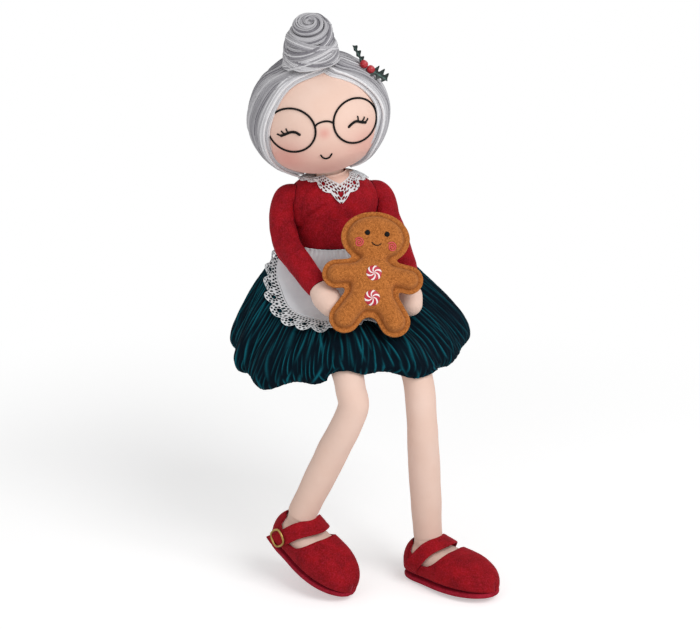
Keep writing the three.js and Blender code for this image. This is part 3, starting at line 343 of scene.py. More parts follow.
# Places of each leg, the way its lower half hangs, and in degrees its shoe's turn and its swing.
LEGS = {
    "left": {"hip": (28, -22, 17.5), "bends": [(42, -80, 13.8), (47.5, -99, 2.5), (50.5, -109, -16)],
             "knee": (52, -113, -45), "hang": (9, 9, -108), "yaw": 35, "pitch": -3, "side": 1,
             "swing": (-4, 0, 10)},
    "right": {"hip": (-28, -22, 17.5), "bends": [(-14, -86, 13.8), (-11.4, -103, 3), (-9.8, -112, -12)],
              "knee": (-9, -115, -31), "hang": (-36.7, 25.6, -94.2), "yaw": 33, "pitch": 18, "side": -1,
              "swing": (-10, 0, 4)},
}
THIGH_RADIUS = 14
bodice = bmesh.new()
bodice_verts = lay_cloth(bodice, 220, 150, bodice_place)
bodice_points = places_of(bodice_verts)
for leg in LEGS.values():
    bodice_points = push_out(bodice_points, [leg["hip"], leg["bends"][0]], THIGH_RADIUS + 1)
settle(bodice_verts, push_out(bodice_points, NECK_LINE, NECK_RADIUS + 1))
bmesh.ops.remove_doubles(bodice, verts=bodice.verts, dist=WELD)
rim = [edge for edge in bodice.edges if edge.is_boundary]
bmesh.ops.edgeloop_fill(bodice, edges=rim)
make_piece("velvet_bodice", bodice, crimson_velvet, "torso", "red_velvet", "bodice")

# Legs: long stuffed tubes of smooth skin-coloured knit. Each is sewn in at the hip, bends over the
# edge of the seat and hangs from a soft knee, with a seam at the ankle where the foot is set on.

# Brushed stretch knit: matt and peachy, with fine loops every 0.9 mm and a faint change of tone.
# Where marked it turns pink: blush on the nose and cheeks, and painted shade under the chin.
skin_knit, tree, shader, where = start_material(
    "skin_stretch_knit", {"Roughness": 0.8, "Sheen Weight": 0.3, "Sheen Roughness": 0.5,
                          "Sheen Tint": to_linear("#ffe9e0"), "Specular IOR Level": 0.2})
drift = add_node(tree, "TexNoise", {"Scale": per_metre(22), "Detail": 3}, {"Vector": where})
tone = add_node(tree, "Mix", {6: to_linear("#e6c2b0"), 7: to_linear("#efd2c4")},
                {0: drift.outputs["Fac"]}, data_type="RGBA")
# Pink where the head is marked: blush on the nose and cheeks, painted shade under the chin.
blush_and_shade = add_node(tree, "Attribute", attribute_name="blush_and_shade")
pink = add_node(tree, "Mix", {7: to_linear("#dd9c90")}, {0: blush_and_shade.outputs["Fac"], 6: tone.outputs[2]},
                data_type="RGBA")
tree.links.new(pink.outputs[2], shader.inputs["Base Color"])
loops = add_node(tree, "TexNoise", {"Scale": per_metre(0.9), "Detail": 2}, {"Vector": where})
bump = add_node(tree, "Bump", {"Strength": 0.3, "Distance": 0.0003}, {"Height": loops.outputs["Fac"]})
tree.links.new(bump.outputs[0], shader.inputs["Normal"])


def along_tube(path, radius, relief=None):
    """Places a tube along the path: u goes round it, v along it, and the relief swells or draws it in."""
    path = np.asarray(path, float)
    tangent = unit(np.gradient(path, axis=0))
    side = np.zeros_like(path)
    side[0] = np.cross(tangent[0], (1, 0, 0) if abs(tangent[0][0]) < 0.8 else (0, 1, 0))
    for i in range(len(path)):
        carried = side[max(i - 1, 0)]
        side[i] = unit(carried - tangent[i] * np.dot(carried, tangent[i]))
    up = np.cross(tangent, side)
    radii = np.broadcast_to(radius, len(path))

    def place(u, v):
        row = np.rint(v * (len(path) - 1)).astype(int)
        angle = u * math.tau
        ring = np.cos(angle)[:, None] * side[row] + np.sin(angle)[:, None] * up[row]
        size = radii[row] + (relief(path[row] + ring * radii[row][:, None], v) if relief else 0)
        return path[row] + ring * size[:, None]

    return place


def rounded_end(path, radii, steps=7):
    """Adds a round closing end to the last point of a tube's path."""
    tip, size = path[-1], radii[-1]
    out = unit(path[-1] - path[-2])
    turn = np.linspace(0, math.pi / 2, steps + 1)[1:]
    path = np.vstack([path, tip + np.outer(np.sin(turn) * size, out)])
    return path, np.concatenate([radii, size * np.cos(turn)])


SHIN_LENGTH = 106
LEG_RADII = [13.8, 13.9, 13.6, 13.2, 13, 13, 13.6, 12.4]
LEG_ROWS = 120
THIGH_ROWS = 75
ANKLE_TUCK = (0.1, 0.25)
KNEE_BLEND = 16
for side, leg in LEGS.items():
    hip, bends, knee = np.array(leg["hip"]), np.array(leg["bends"]), np.array(leg["knee"])
    hang = unit(np.array(leg["hang"]))
    leg["ankle"] = knee + SHIN_LENGTH * hang
    stations = np.vstack([hip, (hip + bends[0]) / 2, bends, knee, knee + 0.45 * SHIN_LENGTH * hang,
                          leg["ankle"] + 4 * hang])
    rows = smooth_path(np.column_stack([stations, LEG_RADII]), LEG_ROWS)
    leg["path"], radii = rows[:, :3], rows[:, 3].copy()
    radii[-2:] -= ANKLE_TUCK
    thigh_line = Vector(bends[0] - hip).normalized()
    swings = [np.array(Matrix.Rotation(math.radians(turn), 3, thigh_line)) for turn in leg["swing"]]
    leg["swept"] = [hip + (leg["path"][:THIGH_ROWS] - hip) @ swing.T for swing in swings]
    back, back_radii = rounded_end(leg["path"][::-1], radii[::-1])
    limb = bmesh.new()
    lay_cloth(limb, 48, len(back) - 1,
              along_tube(back, back_radii, lambda p, v: 0.35 * lumps(p, 30)))
    piece = make_piece(f"knit_leg_{side}", limb, skin_knit, None, "skin_cloth", f"thigh_{side}",
                       f"shin_{side}")
    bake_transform(piece, f"thigh_{side}", f"lower_leg_{side}",
             start=tuple((knee + (0, 0, KNEE_BLEND)) * MM), end=tuple((knee - (0, 0, KNEE_BLEND)) * MM))

# Feet: small stuffed feet of the same knit, sewn on at the ankle and held inside the shoes.
# Their solids are softened as stuffing rounds a sewn shape.


def softened(name, node, material, body, slot, voxel_mm, rounds):
    """A soft copy of a plain solid: its edges are remeshed and smoothed as a filled cover is."""
    bm = bmesh.new()
    bm.from_mesh(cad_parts[node].data)
    bmesh.ops.remove_doubles(bm, verts=bm.verts, dist=0.00001)
    mesh = bpy.data.meshes.new(name)
    bm.to_mesh(mesh)
    bm.free()
    draft = bpy.data.objects.new(name + "_draft", mesh)
    bpy.context.scene.collection.objects.link(draft)
    remesh = draft.modifiers.new("remesh", "REMESH")
    remesh.mode = "VOXEL"
    remesh.voxel_size = voxel_mm * MM
    smooth = draft.modifiers.new("smooth", "SMOOTH")
    smooth.iterations = rounds
    made = bpy.data.meshes.new_from_object(draft.evaluated_get(bpy.context.evaluated_depsgraph_get()))
    bpy.data.objects.remove(draft)
    soft = bmesh.new()
    soft.from_mesh(made)
    bmesh.ops.scale(soft, vec=(1 / MM,) * 3, verts=soft.verts)
    return make_piece(name, soft, material, body, slot, node)


for side in LEGS:
    foot = softened(f"knit_foot_{side}", f"foot_{side}", skin_knit, f"lower_leg_{side}", "skin_cloth",
                    voxel_mm=1.3, rounds=9)

# Shoe uppers: soft bar shoes of the crimson velvet, cut low at the sides and high at the heel.
# Each is one shell sewn to its sole, with a folded edge round the opening.

ANKLE_HEIGHT = 41
FLOOR_LEVEL = -ANKLE_HEIGHT
INSOLE = FLOOR_LEVEL + 3.85
SHOE_WALL = 1.6
# Stations along the shoe from heel to toe: place, half width and height.
LAST = [(-22.5, 0.5, 10), (-22, 5, 13), (-18, 12.7, 25), (-8, 18, 33), (8, 20.5, 31.5), (28, 23.5, 28),
        (46, 23, 25), (60, 18.5, 20), (69, 11.5, 15), (72.6, 5, 10), (73.2, 0.5, 8)]
HEEL, TOE = LAST[0][0], LAST[-1][0]
WIDEST_AT = 0.42
VAMP_FRONT = 30
VAMP_SIDE = 8
# The top edge at the sides: place along the shoe and height. Behind it the edge is high and level.
SIDE_EDGE = [(-8, 27.5), (0, 20.5), (VAMP_SIDE, 18)]
SIDE_BACK = SIDE_EDGE[0][0]
HEEL_EDGE, HEEL_EDGE_SLOPE = 34, 0.05
# Share of the columns of faces that go to the tight curve of the heel, and its length.
HEEL_COLUMNS = 0.12
HEEL_CURVE = 6
fine_last = spline_at(LAST, np.linspace(0, 1, 400))
sorted_last = fine_last[np.argsort(fine_last[:, 0])].T
for side, leg in LEGS.items():
    yaw, pitch = math.radians(leg["yaw"]), math.radians(leg["pitch"])
    toe = np.array([math.sin(yaw) * math.cos(pitch), -math.cos(yaw) * math.cos(pitch), -math.sin(pitch)])
    rise = np.array([math.sin(yaw) * math.sin(pitch), -math.cos(yaw) * math.sin(pitch), math.cos(pitch)])
    leg["axes"] = np.stack([toe, np.cross(rise, toe), rise])


def in_shoe(leg, points):
    """Turns places drawn with X toward the toe and the ankle at the origin into the doll's own."""
    return np.asarray(points, float) @ leg["axes"] + leg["ankle"]


def shoe_point(x, lift_angle):
    """A point on the shoe's skin: how far along, and how high round its section."""
    wide, tall = (np.interp(x, sorted_last[0], column) for column in sorted_last[1:])
    c, s = np.cos(lift_angle), np.sin(lift_angle)
    lift = np.where(s > 0, WIDEST_AT + (1 - WIDEST_AT) * s, WIDEST_AT - WIDEST_AT * np.abs(s) ** 0.45)
    return np.stack([x, wide * np.abs(c) ** 0.75, INSOLE + tall * lift], axis=1)


def throat_angle(x):
    """How high the upper reaches: to the top in front, low at the sides and high at the heel."""
    tall = np.interp(x, sorted_last[0], sorted_last[2])
    heel_height = HEEL_EDGE + (x - SIDE_BACK) * HEEL_EDGE_SLOPE
    side_height = np.where(x < SIDE_BACK, heel_height, np.interp(x, *zip(*SIDE_EDGE)))
    share = np.clip((side_height + FLOOR_LEVEL - INSOLE) / tall, 0, 1)
    low = np.arcsin(np.clip((share - WIDEST_AT) / (1 - WIDEST_AT), -0.2, 1))
    front = np.clip((x - VAMP_SIDE) / (VAMP_FRONT - VAMP_SIDE), 0, 1)
    return low + (math.pi / 2 - low) * (1 - np.sqrt(1 - front ** 2.2))


def upper_place(u, v):
    further = (u - HEEL_COLUMNS) / (1 - HEEL_COLUMNS) * (TOE - HEEL - HEEL_CURVE)
    x = HEEL + np.where(u < HEEL_COLUMNS, u / HEEL_COLUMNS * HEEL_CURVE, HEEL_CURVE + further)
    bottom = -math.pi / 2
    return shoe_point(x, bottom + v * (throat_angle(x) - bottom))


def thicken(piece, thickness_mm):
    """Gives a piece of cloth its thickness, inwards."""
    wall = piece.modifiers.new("wall", "SOLIDIFY")
    wall.thickness = thickness_mm * MM
    wall.offset = -1


for side, leg in LEGS.items():
    upper = bmesh.new()
    lay_cloth(upper, 110, 34, upper_place)
    half = upper.verts[:] + upper.edges[:] + upper.faces[:]
    bmesh.ops.mirror(upper, geom=half, axis="Y", merge_dist=WELD)
    bmesh.ops.remove_doubles(upper, verts=upper.verts, dist=0.01)
    settle(upper.verts, in_shoe(leg, places_of(upper.verts)))
    shell = make_piece(f"velvet_shoe_{side}", upper, crimson_velvet, f"lower_leg_{side}", "red_velvet",
                       f"shoe_upper_{side}")
    thicken(shell, SHOE_WALL)

# Shoe soles: flat padded soles, each bound in a slightly brighter strip of the velvet. The binding is
# sewn to the upper all round.

binding_velvet = velvet("bright_binding_velvet", "#8a1222", "#a61c32", "#c0364e", "#ff7a90", 7)
SOLE_INSET = 0.9
SOLE_THICKNESS = 4.2
SOLE_ROUNDING = 1.3
for side, leg in LEGS.items():
    half = [(x, w - SOLE_INSET) for x, w, _ in fine_last[::6] if w > SOLE_INSET + 2]
    outline = half + [(x, -w) for x, w in half[::-1]]
    sole = bmesh.new()
    corners = [sole.verts.new((x, y, FLOOR_LEVEL)) for x, y in outline]
    face = sole.faces.new(corners)
    raised = bmesh.ops.extrude_face_region(sole, geom=[face])["geom"]
    top = [part for part in raised if isinstance(part, bmesh.types.BMVert)]
    bmesh.ops.translate(sole, vec=(0, 0, SOLE_THICKNESS), verts=top)
    rims = [edge for edge in sole.edges
            if abs(edge.verts[0].co.z - edge.verts[1].co.z) < 0.01 and len(edge.link_faces) == 2]
    bmesh.ops.bevel(sole, geom=rims, offset=SOLE_ROUNDING, affect="EDGES", segments=4, profile=0.5,
                    material=-1)
    settle(sole.verts, in_shoe(leg, places_of(sole.verts)))
    make_piece(f"velvet_sole_{side}", sole, binding_velvet, f"lower_leg_{side}", "red_velvet",
               f"shoe_sole_{side}")

# Shoe straps: a folded velvet bar over each instep, stitched along its middle. It passes through the
# buckle on the outer side of the foot, and its free end hangs below it.

STRAP_WIDTH = 12
STRAP_THICKNESS = 1.9
STRAP_BROADER = 0.26
STRAP_PLEATS = (-2.2, 1.6)
PLEAT_DEPTH, PLEAT_WIDTH = 0.6, 0.8
STRAP_ROWS = 80
STRAP_END_ROWS = 2
STRAP_CELLS = STRAP_ROWS + 2 * STRAP_END_ROWS


def strap_place(leg):
    side = leg["side"]
    route = [(-3, -side * 20.4, 14), (3, -side * 21.4, 21), (12, -side * 15.5, 32), (18.5, 0, 36),
             (12, side * 15.5, 32), (3, side * 22.2, 21), (-8, side * 22.6, 10)]
    path = smooth_path([(x, y, z + FLOOR_LEVEL) for x, y, z in route], STRAP_ROWS)
    tangent = unit(np.gradient(path, axis=0))
    # Away from the foot: to the side low down, and up over the instep.
    out = np.column_stack([np.full(STRAP_ROWS, 0.35), path[:, 1] / 20,
                           (path[:, 2] - FLOOR_LEVEL - 14) / 16])
    across = unit(np.cross(tangent, out))
    up = np.cross(across, tangent)

    def place(u, v):
        cell = v * STRAP_CELLS
        row = np.rint(np.clip((cell - STRAP_END_ROWS) / STRAP_ROWS, 0, 1) * (STRAP_ROWS - 1)).astype(int)
        end = np.clip(np.minimum(cell, STRAP_CELLS - cell) / STRAP_END_ROWS, 0, 1) ** 0.5
        angle = u * math.tau
        c, s = np.cos(angle), np.sin(angle)
        broad = 1 + STRAP_BROADER * np.sin(math.pi * v) ** 2
        a = STRAP_WIDTH / 2 * broad * np.sign(c) * np.abs(c) ** 0.4 * end
        h = STRAP_THICKNESS / 2 * (1 + np.sign(s) * np.abs(s) ** 0.6 * end)
        for pleat in STRAP_PLEATS:
            h = h - (s > 0) * PLEAT_DEPTH * np.exp(-((a - pleat) / PLEAT_WIDTH) ** 2) * end
        return in_shoe(leg, path[row] + a[:, None] * across[row] + h[:, None] * up[row])

    return place


for side, leg in LEGS.items():
    strap = bmesh.new()
    lay_cloth(strap, 48, STRAP_CELLS, strap_place(leg))
    make_piece(f"velvet_strap_{side}", strap, crimson_velvet, f"lower_leg_{side}", "red_velvet",
               f"shoe_strap_{side}")

# Buckles: small cast frames with rounded corners, in darkened brass. Each is threaded on the strap at
# the outer side of the foot.

# Antique brass: a metal with a brown film, mottled and a little rough.
old_brass, tree, shader, where = start_material("antique_brass", {"Metallic": 1, "Roughness": 0.38})
film = add_node(tree, "TexNoise", {"Scale": per_metre(3), "Detail": 5}, {"Vector": where})
tone = add_node(tree, "Mix", {6: to_linear("#6d5527"), 7: to_linear("#b89a5c")}, {0: film.outputs["Fac"]},
                data_type="RGBA")
tree.links.new(tone.outputs[2], shader.inputs["Base Color"])
BUCKLE_SIZE = 16
BUCKLE_BAR = 1.9
BUCKLE_CORNER = 5
BUCKLE_STEPS = 64
BUCKLE_TILT = math.radians(-52)
BUCKLE_OUT = 25.2
BUCKLE_HEIGHT = 20
inner = BUCKLE_SIZE / 2 - BUCKLE_BAR / 2 - BUCKLE_CORNER
turn = np.linspace(0, math.tau, BUCKLE_STEPS + 1)[:-1]
ring_x, ring_z = (np.clip(wave * 1.5, -1, 1) * inner + BUCKLE_CORNER * wave
                  for wave in (np.cos(turn), np.sin(turn)))
ring = np.column_stack([ring_x, np.zeros(BUCKLE_STEPS), ring_z])
tilt_cos, tilt_sin = math.cos(BUCKLE_TILT), math.sin(BUCKLE_TILT)
tilted = np.array([[tilt_cos, 0, tilt_sin], [0, 1, 0], [-tilt_sin, 0, tilt_cos]])
for side, leg in LEGS.items():
    buckle_at = np.array([0, leg["side"] * BUCKLE_OUT, FLOOR_LEVEL + BUCKLE_HEIGHT])

    def buckle_place(u, v):
        row = np.rint(v * BUCKLE_STEPS).astype(int) % BUCKLE_STEPS
        angle = u * math.tau
        offset = unit(ring[row]) * (np.cos(angle) * BUCKLE_BAR / 2)[:, None]
        offset[:, 1] = np.sin(angle) * BUCKLE_BAR / 2
        return in_shoe(leg, (ring[row] + offset) @ tilted.T + buckle_at)

    buckle = bmesh.new()
    lay_cloth(buckle, 14, BUCKLE_STEPS, buckle_place)
    make_piece(f"brass_buckle_{side}", buckle, old_brass, f"lower_leg_{side}", "old_brass",
               f"buckle_frame_{side}")

# Skirt: crinkled dark teal velvet, gathered at the waist and turned under at the hem like a bubble.
# It lies on the lap and round the seat, and its fine pressed crinkles run from waist to hem.

SKIRT_WAIST_RADIUS = 36
SKIRT_WAIST_HEIGHT = 89
SKIRT_THICKNESS = 2.6
WAIST_EASE = 0.35
LAP_SPREAD = 54
SKIRT_FOLDS = 16
FOLD_DEPTH = 2.2
CRINKLES = 136
# The hem round the doll from the front: angle, reach and height.
HEM = [(0, 121, 2), (25, 130, -5), (48, 120, -4), (70, 114, 1), (105, 96, 1.5), (145, 79, 1.5),
       (180, 71, 1.5), (215, 78, 1.5), (252, 86, 1), (283, 89, -6), (299, 104, -13), (314, 113, -18),
       (338, 112, -9), (360, 121, 2)]
# Where the cloth stands out in a puff: angle, spread round the doll, height and how early it rises.
PUFFS = [(80, 32, 13, 0.8), (280, 28, 10, 0.7)]
# From waist to hem: share of the reach, then share of the height over the lap and at the sides.
SKIRT_PROFILE = [(0, 1, 1), (0.16, 0.66, 0.85), (0.37, 0.43, 0.67), (0.65, 0.36, 0.41), (0.86, 0.28, 0.21),
                 (0.98, 0.15, 0.09), (1, 0.07, 0.035), (0.955, 0, 0)]


def eased(share):
    """A share from 0 to 1 that starts and ends softly."""
    share = np.clip(share, 0, 1)
    return share * share * (3 - 2 * share)


def skirt_point(angle, share, off):
    """A point on the skirt at an angle from the front and a share of the way from waist to hem."""
    degrees = np.degrees(angle) % 360
    stations = np.array(HEM, float)
    i = np.clip(np.searchsorted(stations[:, 0], degrees, side="right") - 1, 0, len(HEM) - 2)
    f = eased((degrees - stations[i, 0]) / (stations[i + 1, 0] - stations[i, 0]))
    reach, height = (stations[i, k] + f * (stations[i + 1, k] - stations[i, k]) for k in (1, 2))
    for middle, spread, rise, early in PUFFS:
        swell = np.sin(np.clip(share, 0, 1) ** early * math.pi)
        off = off + rise * np.exp(-((degrees - middle) / spread) ** 2) * swell
    lap = np.exp(-(((degrees + 180) % 360 - 180) / LAP_SPREAD) ** 2)

    def level(row):
        return row[..., 2] + lap * (row[..., 1] - row[..., 2])

    here, ahead, behind = (spline_at(SKIRT_PROFILE, share + step) for step in (0, 0.002, -0.002))
    waist = SKIRT_WAIST_RADIUS / np.hypot(np.sin(angle), np.cos(angle) / BODY_DEPTH)
    start = waist + SKIRT_THICKNESS + WAIST_EASE
    slope_r = (ahead[..., 0] - behind[..., 0]) * (reach - start)
    slope_z = (level(ahead) - level(behind)) * (SKIRT_WAIST_HEIGHT - height)
    size = np.hypot(slope_r, slope_z)
    r = start + (reach - start) * here[..., 0] - off * slope_z / size
    z = height + (SKIRT_WAIST_HEIGHT - height) * level(here) + off * slope_r / size
    return np.stack([r * np.sin(angle), -r * np.cos(angle), z], axis=-1)


def crinkle(angle, share):
    """How high a pressed crinkle stands and how plain it is, from 0 to 1, each in its own way."""
    drift = 5 * np.sin(3 * angle + 4 * share) + 3 * np.sin(7 * angle - 6 * share + 1)
    drift = drift + 1.6 * np.sin(17 * angle + 9 * share) + 16 * share * np.sin(2 * angle + 0.6)
    best_ridge, best_plain = np.zeros_like(angle), np.zeros_like(angle)
    for count, lean in ((CRINKLES, 1), (CRINKLES * 5 // 8, -0.7)):
        phase = count * angle + drift * lean
        number = np.floor(phase / math.tau + 0.5) % count
        chance = np.abs(np.sin(number * 12.9898 + lean) * 437.585) % 1
        ridge = (0.5 + 0.5 * np.cos(phase)) ** 2.2
        plain = (0.2 + 0.8 * chance) * (0.5 + 0.5 * np.sin(share * (11 + 9 * chance) + chance * 40))
        higher = ridge * plain > best_ridge * best_plain
        best_ridge, best_plain = np.where(higher, ridge, best_ridge), np.where(higher, plain, best_plain)
    return best_ridge, best_plain


# The share of the cloth that hangs outside before the hem turns under, and how far in that lies.
HEM_TURN = 0.88
HEM_TUCK = 5
CRINKLE_HEIGHT = 1.8
SKIRT_LEG_ROOM = 1.4


def skirt_place(u, v):
    angle, way = u * math.tau, v / HEM_TURN
    share = np.where(way <= 1, way, 1 - (way - 1) * 0.9)
    ridge, plain = crinkle(angle, share)
    fold = FOLD_DEPTH * np.minimum(1, 2.2 * share) * np.cos(SKIRT_FOLDS * angle + 0.7 * np.sin(3 * angle))
    smooth_hem = 1 - 0.65 * np.clip((share - 0.8) / 0.2, 0, 1)
    crisp = CRINKLE_HEIGHT * (ridge - 0.4) * (0.3 + 0.7 * plain) * np.minimum(1, 3 * share) * smooth_hem
    under = eased((way - 0.97) / 0.06)
    points = skirt_point(angle, share, fold * (1 - under) + crisp - HEM_TUCK * under)
    for leg in LEGS.values():
        for line in leg["swept"]:
            points = push_out(points, line, THIGH_RADIUS + SKIRT_LEG_ROOM)
    return points


# Crinkled velvet: nearly black in the grooves, with painted teal highlights along the ridges where the pile
# would catch the light.
teal_velvet, tree, shader, where = start_material(
    "crinkled_teal_velvet", {"Roughness": 0.8, "Sheen Weight": 0.03, "Sheen Roughness": 0.25,
                             "Sheen Tint": to_linear("#3f9ca0"), "Specular IOR Level": 0.06})
# The ridge mark is a painted highlight: teal along the tops of the crinkles.
ridge = add_node(tree, "Attribute", attribute_name="ridge")
pile = add_node(tree, "TexNoise", {"Scale": per_metre(1.4), "Detail": 4}, {"Vector": where})
broken = add_node(tree, "Math", {1: 0.55}, {0: pile.outputs["Fac"]}, operation="ADD")
ridge_highlight_share = add_node(tree, "Math", {}, {0: ridge.outputs["Fac"], 1: broken.outputs[0]}, operation="MULTIPLY",
                 use_clamp=True)
crush = add_node(tree, "TexNoise", {"Scale": per_metre(16), "Detail": 3}, {"Vector": where})
ground = add_node(tree, "Mix", {6: to_linear("#010811"), 7: to_linear("#041621")}, {0: crush.outputs["Fac"]},
                  data_type="RGBA")
tone = add_node(tree, "Mix", {7: to_linear("#0d5a67")}, {0: ridge_highlight_share.outputs[0], 6: ground.outputs[2]},
                data_type="RGBA")
tree.links.new(tone.outputs[2], shader.inputs["Base Color"])
bump = add_node(tree, "Bump", {"Strength": 0.4, "Distance": 0.0005}, {"Height": pile.outputs["Fac"]})
tree.links.new(bump.outputs[0], shader.inputs["Normal"])

# Painted shade at the doll's left: how much of the painted ridge highlight is taken away there, and
# the share round the skirt where that is and how far it spreads.
SIDE_SHADE, SIDE_SHADE_AT, SIDE_SHADE_SPREAD = 0.55, 0.21, 0.1


def ridge_highlight(u, v):
    ridge, plain = crinkle(u * math.tau, np.minimum(v / HEM_TURN, 1))
    # Painted shade: less of the ridge highlight at the doll's left side.
    side_shade = 1 - SIDE_SHADE * np.exp(-((u - SIDE_SHADE_AT) / SIDE_SHADE_SPREAD) ** 2)
    return np.clip(1.3 * ridge ** 4 * plain * side_shade, 0, 1)


skirt = bmesh.new()
# Each point keeps its share of the painted ridge highlight.
lay_cloth(skirt, 1360, 68, skirt_place, ridge=ridge_highlight)
skirt_piece = make_piece("teal_skirt", skirt, teal_velvet, "torso", "green_velvet", "skirt")

# Apron: a half-round of white cotton that lies on the front of the skirt. Its straight edge is gathered
# a little and sewn in at the waist.

APRON_TURN = -12
APRON_HALF_WIDTH = 54
APRON_LENGTH = 62
APRON_SPREAD = 80
APRON_TOP_RISE = 2
APRON_THICKNESS = 0.6
# How far it lies off the skirt where it is sewn and over the folds, and how soon it gets there.
APRON_LIFT, APRON_OVER_FOLDS, APRON_SETTLES = 0.6, 1.75, 12
# How much of it goes to a radian round the waist, and to the whole way from waist to hem.
APRON_PER_TURN, APRON_PER_DROP = 48, 188


def apron_point(x, y, off):
    """A point on the apron: across and down from its top. Above its top it stands against the body."""
    above = np.maximum(-y, 0)
    y = np.maximum(y, 0)
    lift = APRON_LIFT + eased(y / APRON_SETTLES) * (FOLD_DEPTH + APRON_OVER_FOLDS - APRON_LIFT)
    angle = math.radians(APRON_TURN) + x / APRON_PER_TURN
    points = skirt_point(angle, 0.012 + y / APRON_PER_DROP, lift + off)
    points[:, 2] += above
    return points


def apron_place(u, v):
    turn = np.radians((2 * u - 1) * APRON_SPREAD)
    x = APRON_HALF_WIDTH * np.sin(turn)
    y = APRON_LENGTH * np.cos(turn) * v - APRON_TOP_RISE * (1 - v) ** 4
    gathers = 0.5 * np.cos(1.15 * x + 0.8 * np.sin(0.3 * x)) * np.exp(-y / 8)
    return apron_point(x, y, 0.5 + gathers + 0.35 * np.sin(x / 7 + y / 15))


# White plain weave cotton: matt, with threads 0.5 mm apart drawn at 0.9 mm so that they show.
white_cotton, tree, shader, where = start_material(
    "white_plain_weave_cotton", {"Roughness": 0.85, "Sheen Weight": 0.2})
threads = [add_node(tree, "TexWave", {"Scale": thread_scale(0.9), "Distortion": 0.8},
                    {"Vector": where}, bands_direction=way) for way in "XZ"]
weave = add_node(tree, "Math", {}, {i: t.outputs["Fac"] for i, t in enumerate(threads)})
slub = add_node(tree, "TexNoise", {"Scale": per_metre(12), "Detail": 3}, {"Vector": where})
tone = add_node(tree, "Mix", {6: to_linear("#d6dade"), 7: to_linear("#e9ebee")}, {0: slub.outputs["Fac"]},
                data_type="RGBA")
tree.links.new(tone.outputs[2], shader.inputs["Base Color"])
bump = add_node(tree, "Bump", {"Strength": 0.3, "Distance": 0.0002}, {"Height": weave.outputs[0]})
tree.links.new(bump.outputs[0], shader.inputs["Normal"])

apron = bmesh.new()
lay_cloth(apron, 120, 70, apron_place)
apron_piece = make_piece("cotton_apron", apron, white_cotton, "torso", "white_cloth", "apron_panel")
thicken(apron_piece, APRON_THICKNESS)

# Apron lace: scalloped eyelet lace round the apron's edge. Each scallop has one large eyelet with a
# ring of small holes round it, and the outer edge is a row of looped threads.

APRON_SCALLOPS = 17
APRON_SCALLOP_DEPTH = 5
APRON_LACE_WIDTH = 17
APRON_LACE_OPEN = 1.1
APRON_RUFFLE = 1.5
LACE_THICKNESS = 0.7


def eyelet_holes(pitch, width, open_by):
    """The holes of one scallop: across and along places from its middle at the sewn edge, and radii."""
    # A large eyelet, a ring round it, an arc outside that, two rows at the edge, and one at each side.
    centre = width * 0.58
    holes = [(0, centre, 1.8)]
    for i in range(8):
        turn = math.tau * (i + 0.5) / 8
        holes.append((3.6 * math.sin(turn), centre + 3.6 * math.cos(turn), 0.82))
    for i in range(-2, 3):
        turn = i * math.radians(33)
        holes.append((5.8 * math.sin(turn), centre + 5.8 * math.cos(turn), 0.62))
    for row, down in enumerate((2.4, 4.8)):
        for i in range(5):
            a = (i - 2 + 0.5 * row) * pitch / 4
            if math.hypot(a, down - centre) > 5.2:
                holes.append((a, down, 0.9))
    for side in (-1, 1):
        holes.append((side * pitch * 0.5, centre - 0.6, 1.2))
    return [(a, w, r * open_by) for a, w, r in holes]


def punch(bm, verts, along, across, pitch, width, open_by):
    """Takes the faces out of a lace strip where its holes are, by places along and across it."""
    middle = (np.floor(along / pitch) + 0.5) * pitch
    open_at = np.zeros(len(along), bool)
    for a, w, r in eyelet_holes(pitch, width, open_by):
        open_at |= np.hypot(along - middle - a, across - w) < r
    drop = [vert for vert, hole in zip(verts, open_at) if hole]
    bmesh.ops.delete(bm, geom=drop, context="VERTS")


def shares_of(bm, verts):
    """The shares along and across a sheet that its vertices were laid by."""
    uv_layer = bm.loops.layers.uv.verify()
    return np.array([vert.link_loops[0][uv_layer].uv for vert in verts]).T


def lace_line(turn, w):
    """Places across and down the apron, at a width out from its curved edge."""
    out = np.stack([np.sin(turn) / APRON_HALF_WIDTH, np.cos(turn) / APRON_LENGTH])
    out /= np.linalg.norm(out, axis=0)
    return APRON_HALF_WIDTH * np.sin(turn) + out[0] * w, APRON_LENGTH * np.cos(turn) + out[1] * w


# The lace's true length and width where it lies on the skirt, so that its scallops are all alike.
edge_turn = np.radians(np.linspace(-APRON_SPREAD, APRON_SPREAD, 400))
sewn_edge, free_edge = (apron_point(*lace_line(edge_turn, w), 0.6) for w in (0, APRON_LACE_WIDTH))
edge_run = distances(0.4 * sewn_edge + 0.6 * free_edge)
edge_stretch = np.linalg.norm(free_edge - sewn_edge, axis=1) / APRON_LACE_WIDTH


def lace_spot(u, v):
    """Angle round the apron's edge and width across the lace, for a share along and across it."""
    scallop = APRON_SCALLOP_DEPTH * (np.abs(np.sin(u * APRON_SCALLOPS * math.pi)) - 1)
    return np.interp(u * edge_run[-1], edge_run, edge_turn), 0.2 + v * (APRON_LACE_WIDTH + scallop)


def lace_place(u, v):
    turn, w = lace_spot(u, v)
    ruffle = APRON_RUFFLE * np.sin(u * APRON_SCALLOPS * math.tau) * v ** 2
    return apron_point(*lace_line(turn, w / np.interp(turn, edge_turn, edge_stretch)), 0.6 + ruffle)


# Machine embroidered lace: white cotton thread worked close, with a raised satin stitch.
white_lace, tree, shader, where = start_material(
    "white_embroidered_lace", {"Roughness": 0.8, "Sheen Weight": 0.2})
stitch = add_node(tree, "TexNoise", {"Scale": per_metre(0.8), "Detail": 3}, {"Vector": where})
tone = add_node(tree, "Mix", {6: to_linear("#bfc3c7"), 7: to_linear("#f1f2f3")}, {0: stitch.outputs["Fac"]},
                data_type="RGBA")
tree.links.new(tone.outputs[2], shader.inputs["Base Color"])
bump = add_node(tree, "Bump", {"Strength": 0.6, "Distance": 0.0004}, {"Height": stitch.outputs["Fac"]})
tree.links.new(bump.outputs[0], shader.inputs["Normal"])

